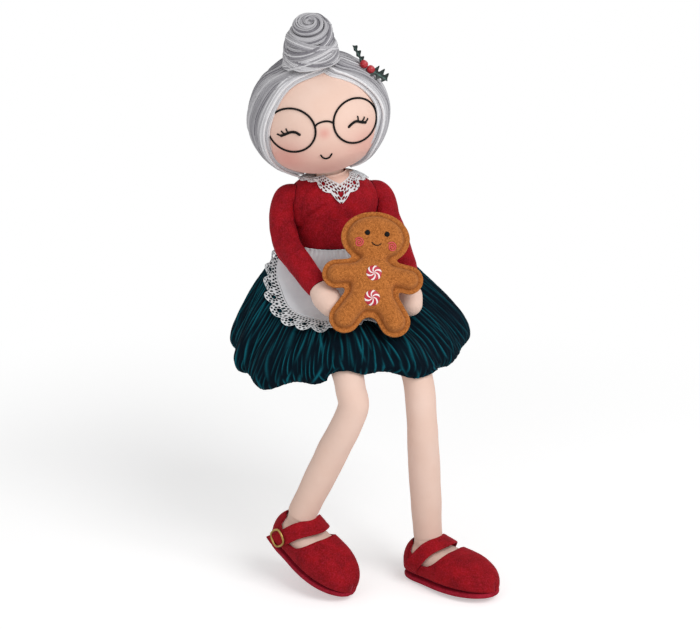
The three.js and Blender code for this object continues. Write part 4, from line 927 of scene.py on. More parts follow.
lace = bmesh.new()
verts = lay_cloth(lace, APRON_SCALLOPS * 40, 42, lace_place)
u, v = shares_of(lace, verts)
punch(lace, verts, u * edge_run[-1], lace_spot(u, v)[1], edge_run[-1] / APRON_SCALLOPS, APRON_LACE_WIDTH,
      APRON_LACE_OPEN)
lace_piece = make_piece("eyelet_apron_lace", lace, white_lace, "torso", "white_lace", "apron_lace")
thicken(lace_piece, LACE_THICKNESS)

# Lace collar: a scalloped band of the same lace, sewn round the neck and lying on the shoulders. Its
# ends meet in a V at the front.

COLLAR_SCALLOPS = 14
COLLAR_SCALLOP_DEPTH = 3.6
COLLAR_PITCH = 13.6
COLLAR_WIDTH = 15
COLLAR_OPEN = 1.08
COLLAR_FROM_TOP = 17
COLLAR_OFF_BODY, COLLAR_RUFFLE = 1.6, 0.5
# The V: degrees to each side of the front, how much lower it starts, and how much broader it is.
V_SPREAD, V_DEPTH, V_BROADER = 42, 16, 3.5


def collar_spot(u, v):
    """Angle round the neck, where the lace starts below the body's top, and width across the lace."""
    angle = u * math.tau
    turned_by = np.abs((np.degrees(angle) + 180) % 360 - 180)
    point = np.clip(1 - turned_by / V_SPREAD, 0, None)
    inner = COLLAR_FROM_TOP + V_DEPTH * point
    scallop = COLLAR_SCALLOP_DEPTH * (np.abs(np.cos(angle * COLLAR_SCALLOPS / 2)) - 1)
    width = COLLAR_WIDTH + V_BROADER * point + scallop
    return angle, inner, width * v


def collar_place(u, v):
    angle, inner, w = collar_spot(u, v)
    ruffle = COLLAR_RUFFLE * v * np.cos(angle * COLLAR_SCALLOPS)
    return body_point(angle, inner + w, COLLAR_OFF_BODY + ruffle)


collar = bmesh.new()
verts = lay_cloth(collar, COLLAR_SCALLOPS * 40, 50, collar_place)
u, v = shares_of(collar, verts)
along_collar = (u + 0.5 / COLLAR_SCALLOPS) * (COLLAR_SCALLOPS * COLLAR_PITCH)
punch(collar, verts, along_collar, v * COLLAR_WIDTH, COLLAR_PITCH, COLLAR_WIDTH, COLLAR_OPEN)
collar_piece = make_piece("eyelet_collar_lace", collar, white_lace, "torso", "white_lace", "collar_lace")
thicken(collar_piece, LACE_THICKNESS)

# Skin inside the collar: the same knit as the neck's, sewn on the body under the edge of the lace. It
# shows in the collar's V.

YOKE_UNDER_LACE = 2
YOKE_OFF_BODY = 0.7
YOKE_NECK_ROOM = 1.8


def yoke_place(u, v):
    down = v * (collar_spot(u, v)[1] + YOKE_UNDER_LACE)
    points = body_point(u * math.tau, down, YOKE_OFF_BODY)
    return push_out(points, NECK_LINE, NECK_RADIUS + YOKE_NECK_ROOM)


yoke = bmesh.new()
lay_cloth(yoke, 120, 14, yoke_place)
make_piece("knit_yoke", yoke, skin_knit, "torso", "skin_cloth")

# Sleeves: stuffed velvet arms, set into the armholes with a few gathers. They bend at the elbow, where
# the velvet creases, and are hemmed at the wrist.

ARM_HEIGHT = 127
SHOULDER_SPREAD = 42.5
SHOULDER_RISE = 2
# From below the shoulder to the wrist, with heights from ARM_HEIGHT. The second place is the elbow.
ARMS = {
    "right": [(-47, -5, -18), (-45.6, -22, -35), (-39, -44, -46), (-27, -66, -63)],
    "left": [(48, -5, -19), (51.5, -22, -37.5), (53, -42, -51.5), (51.5, -62, -68)],
}
SLEEVE_RADII = [10.5, 11.2, 11.6, 11.2, 11, 10.4]
SLEEVE_SET_IN = 10
SLEEVE_ROWS = 130
CUFF_HEM = (0, 0.25, 1.2)
ELBOW_SPREAD = 22
ELBOW_CREASES = np.array([0.3, 0.55, -0.62])
ELBOW_CREASE_HEIGHT = 0.8
GATHER_HEIGHT, GATHER_LENGTH = 0.5, 0.06


def out_of_body(points, off):
    """Moves points that lie in the stuffed body straight out to its side."""
    from_axis = np.hypot(points[:, 0], points[:, 1] / BODY_DEPTH)
    side = body_line[:, 1] < BODY_OUTLINE[-1][1] - 0.5
    body_radius = np.interp(points[:, 2], body_line[side, 1], body_line[side, 0], right=0)
    grow = np.maximum(1, (body_radius + off) / np.maximum(from_axis, 1))
    return points * np.column_stack([grow, grow, np.ones(len(grow))])


for side, route in ARMS.items():
    way = 1 if side == "left" else -1
    route = np.array(route, float) + (0, 0, ARM_HEIGHT)
    shoulder = np.array([way * SHOULDER_SPREAD, 0, ARM_HEIGHT + SHOULDER_RISE])
    inside = shoulder + (-way * SLEEVE_SET_IN, 0, 3)
    stations = np.vstack([inside, shoulder, route])
    rows = smooth_path(np.column_stack([stations, SLEEVE_RADII]), SLEEVE_ROWS)
    path, radii = rows[:, :3], rows[:, 3].copy()
    radii[-3:] -= CUFF_HEM
    elbow = route[1]

    def sleeve_relief(p, v):
        near = np.exp(-((p - elbow) ** 2).sum(1) / ELBOW_SPREAD ** 2)
        creases = np.sin(p @ ELBOW_CREASES * 1.05 + np.sin(p[:, 0] * 0.35))
        gather = np.exp(-v / GATHER_LENGTH) * np.sin(p[:, 1] * 0.9)
        return 0.5 * lumps(p, 26) + ELBOW_CREASE_HEIGHT * near * creases + GATHER_HEIGHT * gather

    arm_path, arm_radii = rounded_end(path[::-1], radii[::-1])
    sleeve = bmesh.new()
    verts = lay_cloth(sleeve, 72, len(arm_path) - 1,
                      along_tube(arm_path, arm_radii, lambda p, v: sleeve_relief(p, 1 - v)))
    settle(verts, out_of_body(places_of(verts), 0.3))
    piece = make_piece(f"velvet_sleeve_{side}", sleeve, crimson_velvet, "arms", "red_velvet",
                       f"sleeve_{side}")

# Hands: plain stuffed mitten hands of the skin knit. They are sewn into the cuffs and to the toy that
# they hold.

for side in ARMS:
    hand = softened(f"knit_hand_{side}", f"hand_{side}", skin_knit, "arms", "skin_cloth",
                    voxel_mm=1.1, rounds=10)

# Felt toy: a biscuit figure of two pressed felt panels, padded and sewn together on the right side
# with a running stitch, so that a raw rim stands out round the seam.

TOY_PLACE = np.array([15.5, -85, 79.5])
TOY_TURN = np.array(Matrix.Rotation(math.radians(-10), 3, "Z") @ Matrix.Rotation(math.radians(6), 3, "Y")
                    @ Matrix.Rotation(math.radians(-26), 3, "X"))
TOY_RIM = 4
TOY_PUFF = 9.5
TOY_FILL_WIDTH = 11
TOY_GROOVE_DEPTH, TOY_GROOVE_WIDTH = 0.7, 0.8
TOY_BLEND = 8
TOY_FELT = 1.3
TOY_CELL = 0.85
TOY_SHEET = (96, 108)
TOY_SEAM_GAP = 0.12


def in_toy(points):
    """Turns places drawn round the middle of the upright toy into the doll's own."""
    return np.asarray(points, float) @ TOY_TURN.T + TOY_PLACE


def toy_depth(x, z):
    """How far a place on the toy is inside its cut edge, less than 0 outside it."""

    def oval(middle_z, half_width, half_height):
        return (1 - np.hypot(x / half_width, (z - middle_z) / half_height)) * min(half_width, half_height)

    def limb(ax, az, bx, bz, r):
        out, up = np.abs(x) - ax, z - az
        t = np.clip((out * (bx - ax) + up * (bz - az)) / ((bx - ax) ** 2 + (bz - az) ** 2), 0, 1)
        return r - np.hypot(out - t * (bx - ax), up - t * (bz - az))

    head, body = oval(30, 29, 22.5), oval(-8, 22, 30)
    arms, legs = limb(8, 0, 30.5, -3.5, 12), limb(8, -20, 21, -40, 13)
    joined = head
    for part in (body, arms, legs):
        blend = np.clip(0.5 + (joined - part) / TOY_BLEND, 0, 1)
        joined = part + blend * (joined - part) + TOY_BLEND / 2 * blend * (1 - blend)
    return joined


def toy_front_height(x, z):
    """How far the front of the padded toy stands out from its middle."""
    d = toy_depth(x, z)
    fill = np.clip((d - TOY_RIM) / TOY_FILL_WIDTH, 0, 1)
    groove = TOY_GROOVE_DEPTH * np.exp(-((d - TOY_RIM) / TOY_GROOVE_WIDTH) ** 2)
    return TOY_FELT + (TOY_PUFF - TOY_FELT) * np.sqrt(fill * (2 - fill)) - groove


# Pressed wool felt: caramel brown with darker and lighter fibres, fuzzy and quite matt, with painted
# shade in a darker brown along the sunk seam groove.
felt, tree, shader, where = start_material(
    "caramel_felt", {"Roughness": 0.95, "Sheen Weight": 0.35, "Sheen Roughness": 0.6,
                     "Sheen Tint": to_linear("#f0b98a"), "Specular IOR Level": 0.1})
fibre = add_node(tree, "TexNoise", {"Scale": per_metre(1.5), "Detail": 6, "Roughness": 0.7,
                                    "Distortion": 1.2}, {"Vector": where})
fleck = add_node(tree, "MapRange", {"From Min": 0.36, "From Max": 0.62}, {"Value": fibre.outputs["Fac"]})
tone = add_node(tree, "Mix", {6: to_linear("#85491a"), 7: to_linear("#cb7d3e")}, {0: fleck.outputs[0]},
                data_type="RGBA")
# The groove mark is painted shade: darker brown where the seam groove is sunk.
groove = add_node(tree, "Attribute", attribute_name="groove")
seam = add_node(tree, "Mix", {7: to_linear("#6d3814")}, {0: groove.outputs["Fac"], 6: tone.outputs[2]},
                data_type="RGBA")
tree.links.new(seam.outputs[2], shader.inputs["Base Color"])
bump = add_node(tree, "Bump", {"Strength": 0.5, "Distance": 0.0005}, {"Height": fibre.outputs["Fac"]})
tree.links.new(bump.outputs[0], shader.inputs["Normal"])

for name, node, way in (("felt_toy_front", "toy_front", -1), ("felt_toy_back", "toy_back", 1)):
    panel = bmesh.new()
    groove_shade_layer = panel.verts.layers.float.new("groove")
    columns, rows = (round(length / TOY_CELL) for length in TOY_SHEET)
    bmesh.ops.create_grid(panel, x_segments=columns, y_segments=rows, size=0.5)
    x, z = (places_of(panel.verts)[:, :2] * TOY_SHEET).T
    settle(panel.verts, np.column_stack([x, np.zeros(len(x)), z]))
    cut_off = [vert for vert, depth in zip(panel.verts, toy_depth(x, z)) if depth < -0.3 * TOY_CELL]
    bmesh.ops.delete(panel, geom=cut_off, context="VERTS")
    for vert in [vert for vert in panel.verts if vert.is_boundary]:
        for _ in range(4):
            px, pz = vert.co.x, vert.co.z
            d = float(toy_depth(px, pz))
            gx = (float(toy_depth(px + 0.1, pz)) - d) / 0.1
            gz = (float(toy_depth(px, pz + 0.1)) - d) / 0.1
            size = max(gx * gx + gz * gz, 0.05)
            vert.co = (px - d * gx / size, 0, pz - d * gz / size)
    x, _, z = places_of(panel.verts).T
    rise = toy_front_height(x, z)
    # Painted shade along the seam groove, strongest at its bottom.
    mark = 0.45 * np.exp(-((toy_depth(x, z) - TOY_RIM) / 0.9) ** 2)
    for vert, y, m in zip(panel.verts, rise, mark):
        vert.co.y = way * y
        vert[groove_shade_layer] = m
    rim = [edge for edge in panel.edges if edge.is_boundary]
    wall = bmesh.ops.extrude_edge_only(panel, edges=rim)["geom"]
    for vert in [part for part in wall if isinstance(part, bmesh.types.BMVert)]:
        vert.co.y = way * TOY_SEAM_GAP
    settle(panel.verts, in_toy(places_of(panel.verts)))
    make_piece(name, panel, felt, "arms", "brown_felt", node)

# Peppermints and face of the toy: satin stitch discs with red and white swirls, small spiral
# cheeks, bead-like black eyes and a stitched smile, all worked in thread on the front panel.

# Embroidery thread: rayon in satin stitch, with a soft gloss along the stitches.
THREADS = [("red", "#b3182f", 0.45, 0.5), ("white", "#f1e9e6", 0.5, 0.5), ("pink", "#d8485a", 0.5, 0.5),
           ("black", "#0a0808", 0.7, 0.15)]
red_thread, white_thread, pink_thread, black_thread = (
    start_material(f"{colour}_satin_thread", {"Base Color": to_linear(dye), "Roughness": roughness,
                                              "Specular IOR Level": gloss})[0]
    for colour, dye, roughness, gloss in THREADS)


def on_toy(points, off=0.3):
    """Places on the front of the toy, at a height off the felt."""
    x, z = np.array(points, float).T
    return in_toy(np.column_stack([x, -toy_front_height(x, z) - off, z]))


MINTS = [("mint_upper", "toy_peppermint_upper", -2), ("mint_lower", "toy_peppermint_lower", -23)]
MINT_RADIUS = 6.4
MINT_SWIRLS = 6
MINT_TWIST = 1.1
MINT_EDGE, MINT_RISE = 0.2, 0.9
for name, node, mint_z in MINTS:
    disc = bmesh.new()

    def mint_place(u, v):
        r, angle = MINT_RADIUS * v, u * math.tau + MINT_TWIST * v
        lift = MINT_EDGE + MINT_RISE * np.sqrt(np.clip(1 - v ** 4, 0, 1))
        return on_toy(np.column_stack([r * np.sin(angle), mint_z + r * np.cos(angle)]), lift)

    lay_cloth(disc, MINT_SWIRLS * 12, 14, mint_place)
    layer = disc.loops.layers.uv.verify()
    for face in disc.faces:
        u = sum(loop[layer].uv.x for loop in face.loops) / 4
        v = sum(loop[layer].uv.y for loop in face.loops) / 4
        swirl = (u * MINT_SWIRLS) % 1
        face.material_index = int(swirl < 0.42 - 0.12 * v)
    mint = make_piece(name, disc, red_thread, "arms", "mint_thread", node)
    mint.data.materials.append(white_thread)


def thread(bm, points, radius, count=40, sides=8):
    """Adds one thread with round ends along a smooth line of places."""
    path = smooth_path(points, count)
    radii = np.full(count, float(radius))
    path, radii = rounded_end(path, radii, 4)
    path, radii = rounded_end(path[::-1], radii[::-1], 1)
    lay_cloth(bm, sides, len(path) - 1, along_tube(path, radii))


TOY_EYES = [("toy_eye_left_stitch", "toy_eye_left", 8.6), ("toy_eye_right_stitch", "toy_eye_right", -7.8)]
TOY_EYE_Z = 32
TOY_EYE_RADIUS = 2.3
TOY_EYE_RISE = 1.3
TOY_SMILE = [(-3.6, 23.8), (-1.7, 22.2), (0.5, 21.7), (2.6, 22.1), (4.2, 23.4)]
TOY_CHEEKS = [(-14.2, 23.2), (13.6, 21.8)]
CHEEK_TURNS = 2.4
CHEEK_PITCH = 0.26
for name, node, eye_x in TOY_EYES:
    eye = bmesh.new()

    def eye_place(u, v):
        r, angle = TOY_EYE_RADIUS * np.sin(v * math.pi / 2), u * math.tau
        spots = np.column_stack([eye_x + r * np.sin(angle), TOY_EYE_Z + r * np.cos(angle)])
        return on_toy(spots, TOY_EYE_RISE * np.cos(v * math.pi / 2))

    lay_cloth(eye, 28, 8, eye_place)
    make_piece(name, eye, black_thread, "arms", "black_thread", node)
smile = bmesh.new()
thread(smile, on_toy(TOY_SMILE), 0.42)
make_piece("toy_smile", smile, black_thread, "arms", "black_thread")
cheeks = bmesh.new()
for cheek_x, cheek_z in TOY_CHEEKS:
    turns = np.linspace(0, CHEEK_TURNS * math.tau, 60)
    spiral = np.column_stack([cheek_x + turns * CHEEK_PITCH * np.cos(turns),
                              cheek_z + turns * CHEEK_PITCH * np.sin(turns)])
    thread(cheeks, on_toy(spiral), 0.45, count=90, sides=6)
make_piece("toy_cheeks", cheeks, pink_thread, "arms", "mint_thread")

# Neck and head: a short stuffed neck holds a round head of the same skin knit. The head leans to
# the doll's right and is dusted with pink on the nose and low on the cheeks, and the lower face
# under the chin is darkened with painted shade in the same pink.

HEAD_TURN = np.array(Matrix.Rotation(math.radians(-7), 3, "Z") @ Matrix.Rotation(math.radians(-8.9), 3, "Y")
                     @ Matrix.Rotation(math.radians(4), 3, "X"))
# The neck ends at this share of the head's radius below its middle, in a hollow with a little room.
NECK_SINK = 0.66
HOLLOW_ROUND, HOLLOW_ABOVE = 0.8, 0.6
neck = softened("knit_neck", "neck", skin_knit, "neck", "skin_cloth", voxel_mm=1.3, rounds=6)


def in_head(points, chin_share=CHIN_SHARE):
    """Turns places drawn round the middle of the head into the doll's own, flatter at the chin."""
    points = np.array(points, float)
    below = np.minimum(points[..., 2] - CHIN_FLATTENS_FROM, 0)
    points[..., 2] -= (1 - chin_share) * below
    return points @ HEAD_TURN.T + HEAD_CENTRE


# The pink places: across and up from the middle of the face, size and strength. The last one is
# painted shade under the chin; the others are the doll's own blush.
BLUSH_AND_CHIN_SHADE = [(-0.6, -1, 4.6, 0.8), (-36, -22, 18, 0.85), (36, -20, 17, 0.6), (0, -46, 28, 0.7)]
head = bmesh.new()
blush_and_shade_layer = head.verts.layers.float.new("blush_and_shade")
bmesh.ops.create_uvsphere(head, u_segments=144, v_segments=96, radius=1)
local = places_of(head.verts) * HEAD_RADII
blush_and_shade_amount = np.zeros(len(local))
for bx, bz, size, most in BLUSH_AND_CHIN_SHADE:
    off_middle = (local[:, 0] - bx) ** 2 + (local[:, 2] - bz) ** 2
    blush_and_shade_amount += most * np.exp(-off_middle / size ** 2) * (local[:, 1] < 0)
places = in_head(local)
up_neck = (places - NECK_PIVOT) @ NECK_AXIS
off_axis = np.linalg.norm(places - NECK_PIVOT - up_neck[:, None] * NECK_AXIS, axis=1)
hollow_top = HEAD_HEIGHT - HEAD_RADII[0] * NECK_SINK + HOLLOW_ABOVE
hollow = (off_axis < NECK_RADIUS + HOLLOW_ROUND) & (up_neck < hollow_top)
places[hollow] += (hollow_top - up_neck[hollow])[:, None] * NECK_AXIS
settle(head.verts, places)
for vert, warm in zip(head.verts, blush_and_shade_amount):
    vert[blush_and_shade_layer] = min(1, warm)
make_piece("knit_head", head, skin_knit, "head", "skin_cloth", "head")

# Face: a stitched face with round spectacles, closed smiling eyes with three lashes each and a small
# mouth, in black thread that lies on the knit.


STITCH_OFF_FACE = 0.35


def on_face(points):
    """Places on the front of the head, just off the knit."""
    x, z = np.array(points, float).T
    y = -HEAD_RADII[1] * np.sqrt(np.clip(1 - (x / HEAD_RADII[0]) ** 2 - (z / HEAD_RADII[2]) ** 2, 0.01, 1))
    spots = np.column_stack([x, y, z])
    return in_head(spots + STITCH_OFF_FACE * unit(spots / HEAD_RADII ** 2))


# Each lens: its middle, half width, half height and tilt.
LENSES = [(-26.5, 3.9, 19.1, 18.2, 0.04), (27.3, 2.8, 19.3, 18.2, -0.28)]
BRIDGE = [(-7.6, 5.6), (-4.5, 7.9), (0.9, 8.8), (5, 8), (8.4, 6)]
EYELIDS = [
    [(-36.1, 0), (-31.9, 1.6), (-27.4, 3.1), (-23.6, 2.5), (-21, 0.5)],
    [(20.5, 0), (23.8, 2), (27.8, 2.8), (31.8, 0.9), (35.5, -0.7)],
]
LASHES = [
    [(-29.5, 2.3), (-30.6, 4.2), (-31, 5.8)],
    [(-32.3, 1.4), (-34, 2.6), (-35, 3.9)],
    [(-34, 0.8), (-36.8, 0.6), (-38.6, 1.4)],
    [(29, 2.5), (29.6, 4.6), (29.4, 6.3)],
    [(31.8, 1), (34, 2.2), (35.2, 3.8)],
    [(34, -0.3), (36.6, 0.2), (38, 1.6)],
]
MOUTH = [(-6.2, -19.7), (-4.6, -22.4), (-1.9, -23.6), (0.9, -22.8), (3, -20.2)]
face = bmesh.new()
for lens_x, lens_z, lens_w, lens_h, lens_tilt in LENSES:
    turn = np.linspace(0, math.tau, 73)
    a, b = lens_w * np.cos(turn), lens_h * np.sin(turn)
    ring = np.column_stack([lens_x + a * math.cos(lens_tilt) - b * math.sin(lens_tilt),
                            lens_z + a * math.sin(lens_tilt) + b * math.cos(lens_tilt)])
    thread(face, on_face(ring), 0.9, count=140)
thread(face, on_face(BRIDGE), 0.82)
for lid in EYELIDS:
    thread(face, on_face(lid), 1.15)
for lash in LASHES:
    thread(face, on_face(lash), 0.7, count=14)
thread(face, on_face(MOUTH), 0.76)
make_piece("stitched_face", face, black_thread, "head", "black_thread")

# Hair: silver grey yarn laid strand beside strand from under the bun over a padded cap, down past
# the cheeks to the nape. The locks beside the face are the palest.

HAIR_RADII = np.array([60.8, 57.2, 57.9])
HAIR_BACK = 3
HAIR_TAPER = 6

# Soft spun yarn: matt grey fibres, each strand a little lighter or darker than the next.
grey_yarn, tree, shader, where = start_material(
    "silver_grey_yarn", {"Roughness": 0.7, "Sheen Weight": 0.4, "Sheen Roughness": 0.4,
                         "Specular IOR Level": 0.3})
strand_tone = add_node(tree, "Attribute", attribute_name="tone")
tone = add_node(tree, "Mix", {6: to_linear("#615e66"), 7: to_linear("#e9e8ea")},
                {0: strand_tone.outputs["Fac"]}, data_type="RGBA")
fuzz = add_node(tree, "TexNoise", {"Scale": per_metre(1.2), "Detail": 5, "Roughness": 0.7}, {"Vector": where})
wisp = add_node(tree, "MapRange", {"From Min": 0.4, "From Max": 0.8, "To Max": 0.5},
                {"Value": fuzz.outputs["Fac"]})
fleck = add_node(tree, "Mix", {7: to_linear("#aaa8ae")}, {0: wisp.outputs[0], 6: tone.outputs[2]},
                 data_type="RGBA")
tree.links.new(fleck.outputs[2], shader.inputs["Base Color"])
bump = add_node(tree, "Bump", {"Strength": 0.5, "Distance": 0.0004}, {"Height": fuzz.outputs["Fac"]})
tree.links.new(bump.outputs[0], shader.inputs["Normal"])

# The edge of the hair round the face and the middle of the back, from the bun down to the nape:
# degrees from the crown, and degrees round from the front.
HAIRLINE = {
    -1: [(20, -52), (27, -38), (33, -19), (37, 5), (42, 24), (51, 36.5), (64, 44.5), (78.5, 51.5),
         (92, 56.5), (110, 62.5), (128, 68), (156, 80)],
    1: [(20, -2), (30, 12), (39.6, 20.8), (45, 31.5), (51.5, 41.5), (58, 48.5), (66, 54), (79.5, 59.5),
        (93, 58.5), (108, 54), (124, 50), (155, 62)],
}
BACK_LINE = [(crown, 180) for crown in (4, 17, 30, 42, 54, 66, 80, 94, 108, 124, 140, 154)]
STRANDS_PER_SIDE = 92
RAISED_LOCKS = 24
STRANDS_IN_LOCK = 5
STRAND_POINTS = 40
STRAND_SIDES = 7
FRONT_LOCK = 7
CAP_SINK = 1.4
CAP_THICKNESS = 2
# The share of a side, from the face back, where the yarn is pale and lies close to the head.
PALE_SHARE = 0.048
rng = np.random.default_rng(7)


def on_hair(crown, round_by, way, off):
    """A place over the hair from two angles, on the doll's left or right by the sign of way."""
    off = off - HAIR_TAPER * np.clip((crown - 88) / 52, 0, 1)
    crown, round_by = np.radians(crown), np.radians(round_by)
    out = np.column_stack([way * np.sin(crown) * np.sin(round_by), -np.sin(crown) * np.cos(round_by),
                           np.cos(crown)])
    reach = 1 / np.linalg.norm(out / HAIR_RADII, axis=1)
    return in_head(out * (reach + off)[:, None] + (0, HAIR_BACK, 0), 1)


def strand(bm, path, radius, tone):
    """Adds one yarn strand with closed ends, in one tone of grey."""
    radii = np.full(len(path), radius)
    radii[[0, -1]] = 0
    lay_cloth(bm, STRAND_SIDES, len(path) - 1, along_tube(path, radii), tone=tone)


cap = bmesh.new()
for way, line in HAIRLINE.items():

    def cap_place(u, v):
        front, back = spline_at(line, v), spline_at(BACK_LINE, v)
        bend = front + (back - front) * u[:, None]
        edge = -5 * np.clip(1 - u / 0.08, 0, 1)
        return on_hair(bend[:, 0], bend[:, 1], way, edge - CAP_SINK)

    lay_cloth(cap, 60, 60, cap_place, tone=0.3)
cap_piece = make_piece("yarn_cap", cap, grey_yarn, "head", "grey_yarn", "hair_cap")
thicken(cap_piece, CAP_THICKNESS)

hair = bmesh.new()
share = np.linspace(0, 1, STRAND_POINTS)
nape_tuck = 4 * np.clip((share - 0.93) / 0.07, 0, 1) ** 2
crown_tuck = 2.5 * np.clip(1 - share / 0.12, 0, 1)
for way, line in HAIRLINE.items():
    front, back = spline_at(line, share), spline_at(BACK_LINE, share)
    for layer, count in ((0, STRANDS_PER_SIDE), (1, RAISED_LOCKS)):
        for i in range(count):
            across = i / (count - 1)
            if i % STRANDS_IN_LOCK == 0:
                lock_tone = rng.uniform(0, 0.5)
            pale = 0.8 * math.exp(-across / PALE_SHARE)
            sway = np.sin(share * rng.uniform(4, 8) + rng.uniform(0, 6))
            drift = across ** 1.05 + (0.008 + 0.02 * layer) * sway
            bend = front + (back - front) * np.clip(drift, 0, 1)[:, None]
            edge = -3.6 * max(0, 1 - across / PALE_SHARE)
            off = 0.9 * layer + edge + rng.uniform(-0.4, 0.5) - nape_tuck - crown_tuck
            path = smooth_path(on_hair(bend[:, 0], bend[:, 1], way, off), STRAND_POINTS)
            grey = float(np.clip(lock_tone + rng.uniform(-0.3, 0.4) + 0.15 * layer + pale, 0, 1))
            strand(hair, path, rng.uniform(0.85, 1.15), grey)
front = spline_at(HAIRLINE[-1], share)
for j in range(FRONT_LOCK):
    rise = 0.4 + 0.5 * math.sin(j * math.pi / (FRONT_LOCK - 1)) - crown_tuck
    path = on_hair(front[:, 0] - 1.3 * j + 1, front[:, 1] + 1.05 * j, -1, rise - 2.6 * (j < 1))
    strand(hair, smooth_path(path, STRAND_POINTS), 1, 0.7 + 0.3 * (j % 2))
make_piece("yarn_hair", hair, grey_yarn, "head", "grey_yarn")

# Bun: a rope of yarn wound up a soft core on the crown and in over its top, with a few loose
# wraps crossing it. It is sewn down to the hair.

BUN_FORWARD = math.radians(14)
BUN_AXIS = np.array([0, -math.sin(BUN_FORWARD), math.cos(BUN_FORWARD)])
BUN_SIDE = np.array([1.0, 0, 0])
BUN_FRONT = np.cross(BUN_AXIS, BUN_SIDE)
BUN_OFF_HEAD = 1.5
COIL_LIFT = 4.35
BUN_BASE = BUN_AXIS * (HEAD_RADII[2] + BUN_OFF_HEAD + COIL_LIFT)
BUN_MERIDIAN = [(20.6, 0), (18.4, 10.5), (16, 20), (12.8, 26.6), (8.2, 29.6), (2, 30.2)]
BUN_TOP_TILT = 0.34
BUN_LEAN = 0.1
BUN_SAG = 4.5
BUN_SAG_BACK = 0.12
COIL_PITCH = 8.8
COIL_DIAMETER = 8
BAND_STRANDS = 8
BAND_STRAND_RADIUS = 0.9
WRAP_STRANDS = 5
WRAP_STRAND_RADIUS = 0.85
WRAP_STRAND_PITCH = 1.35
# Loose wraps round the bun: how far each tilts, the way it faces and how high it lies.
WRAPS = [(7, 0.4, 9), (9, 2.2, 13), (6, 4.1, 5), (8, 5.2, 18), (5, 1.2, 2)]


def in_bun(points):
    """Turns places drawn with the bun upright into the doll's own. Its top slopes and its base sags."""
    x, y, z = np.asarray(points, float).T
    high, low = np.clip(z / 31, 0, 1) ** 2, np.clip(1 - z / 12, 0, 1)
    x, z = x + BUN_LEAN * z, z + BUN_TOP_TILT * y * high - (BUN_SAG + BUN_SAG_BACK * y) * low
    return in_head(BUN_BASE + np.outer(x, BUN_SIDE) + np.outer(y, BUN_FRONT) + np.outer(z, BUN_AXIS))


meridian = smooth_path(BUN_MERIDIAN, 300)
meridian_run = distances(meridian)[-1]


def wound(turn, climb, off):
    """A place on the bun: an angle round it, a distance up its side, a height off its middle line."""
    r, z = beside(meridian, np.clip(climb / meridian_run, 0, 1), off)
    return in_bun(np.column_stack([r * np.cos(turn), r * np.sin(turn), z]))


bun = bmesh.new()
turns = meridian_run / COIL_PITCH
for j in range(BAND_STRANDS):
    lie = (j + 0.5) / BAND_STRANDS - 0.5
    turn = np.linspace(0, (turns + 0.8) * math.tau, 260)
    climb = turn / math.tau * COIL_PITCH + lie * COIL_DIAMETER + 0.8 * np.sin(turn * 0.9 + j)
    height = COIL_DIAMETER / 2 * math.sqrt(1 - (1.7 * lie) ** 2) - 1.6 + 0.4 * np.sin(turn * 1.7 + 2 * j)
    strand(bun, wound(turn, climb, height), BAND_STRAND_RADIUS, rng.uniform(0, 0.6))
for tilt, facing, low in WRAPS:
    for j in range(WRAP_STRANDS):
        turn = np.linspace(0, math.tau, 90)
        climb = low + tilt * np.sin(turn - facing) + WRAP_STRAND_PITCH * (j - WRAP_STRANDS // 2)
        lift = 3.3 + 0.5 * np.sin(turn * 2 + j)
        strand(bun, wound(turn, climb, lift), WRAP_STRAND_RADIUS, rng.uniform(0.05, 0.8))
make_piece("yarn_bun", bun, grey_yarn, "head", "grey_yarn", "bun_coil")
core = bmesh.new()
lay_cloth(core, 48, 40, lambda u, v: wound(u * math.tau, v * meridian_run, np.full(len(u), -0.5)), tone=0.1)
make_piece("bun_padding", core, grey_yarn, "head", "grey_yarn", "bun_core")

# Holly sprig: two moulded plastic leaves with spiny edges and two red berries, glued to the hair
# beside the bun.

# Glossy moulded plastic: dark green with paler veins, which also stand in as painted glints, and plain
# red for the berries.
leaf_plastic, tree, shader, _ = start_material(
    "dark_green_plastic", {"Roughness": 0.34, "Specular IOR Level": 0.3})
vein = add_node(tree, "Attribute", attribute_name="vein")
tone = add_node(tree, "Mix", {6: to_linear("#06120f"), 7: to_linear("#4d6b64")}, {0: vein.outputs["Fac"]},
                data_type="RGBA")
tree.links.new(tone.outputs[2], shader.inputs["Base Color"])
berry_plastic, tree, shader, where = start_material("red_berry_plastic", {"Roughness": 0.28})
shade = add_node(tree, "TexNoise", {"Scale": per_metre(3), "Detail": 2}, {"Vector": where})
tone = add_node(tree, "Mix", {6: to_linear("#9c1420"), 7: to_linear("#c8303a")}, {0: shade.outputs["Fac"]},
                data_type="RGBA")
tree.links.new(tone.outputs[2], shader.inputs["Base Color"])

HOLLY_ANGLE, HOLLY_FORWARD = math.radians(49), math.radians(14)
holly_out = np.array([math.sin(HOLLY_ANGLE) * math.cos(HOLLY_FORWARD), -math.sin(HOLLY_FORWARD),
                      math.cos(HOLLY_ANGLE) * math.cos(HOLLY_FORWARD)])
holly_spot = holly_out / np.linalg.norm(holly_out / HAIR_RADII)
holly_up = unit(holly_spot / HAIR_RADII ** 2)
holly_down = unit(np.array([holly_up[2], 0, -holly_up[0]]))
holly_axes = np.stack([holly_down, np.cross(holly_up, holly_down), holly_up])
# Each leaf: its way from the berries in degrees, half width, how far its tip stands up, and its roll.
LEAVES = [("holly_leaf_up", "holly_leaf_upper", 172, 2.9, 6, -1),
          ("holly_leaf_down", "holly_leaf_lower", -12, 6, 2, 1)]
LEAF_LENGTH = 18
LEAF_ROLL = math.radians(58)
LEAF_THICKNESS = 0.6
BERRIES = [("berry_low", "holly_berry_lower", 3.85), ("berry_high", "holly_berry_upper", -3.5)]
BERRY_RADIUS = 3.6
BERRY_RISE = 4.3


def in_holly(points):
    """Turns places drawn round the sprig's middle into the doll's own."""
    return in_head(points @ holly_axes + holly_spot + (0, HAIR_BACK, 0))


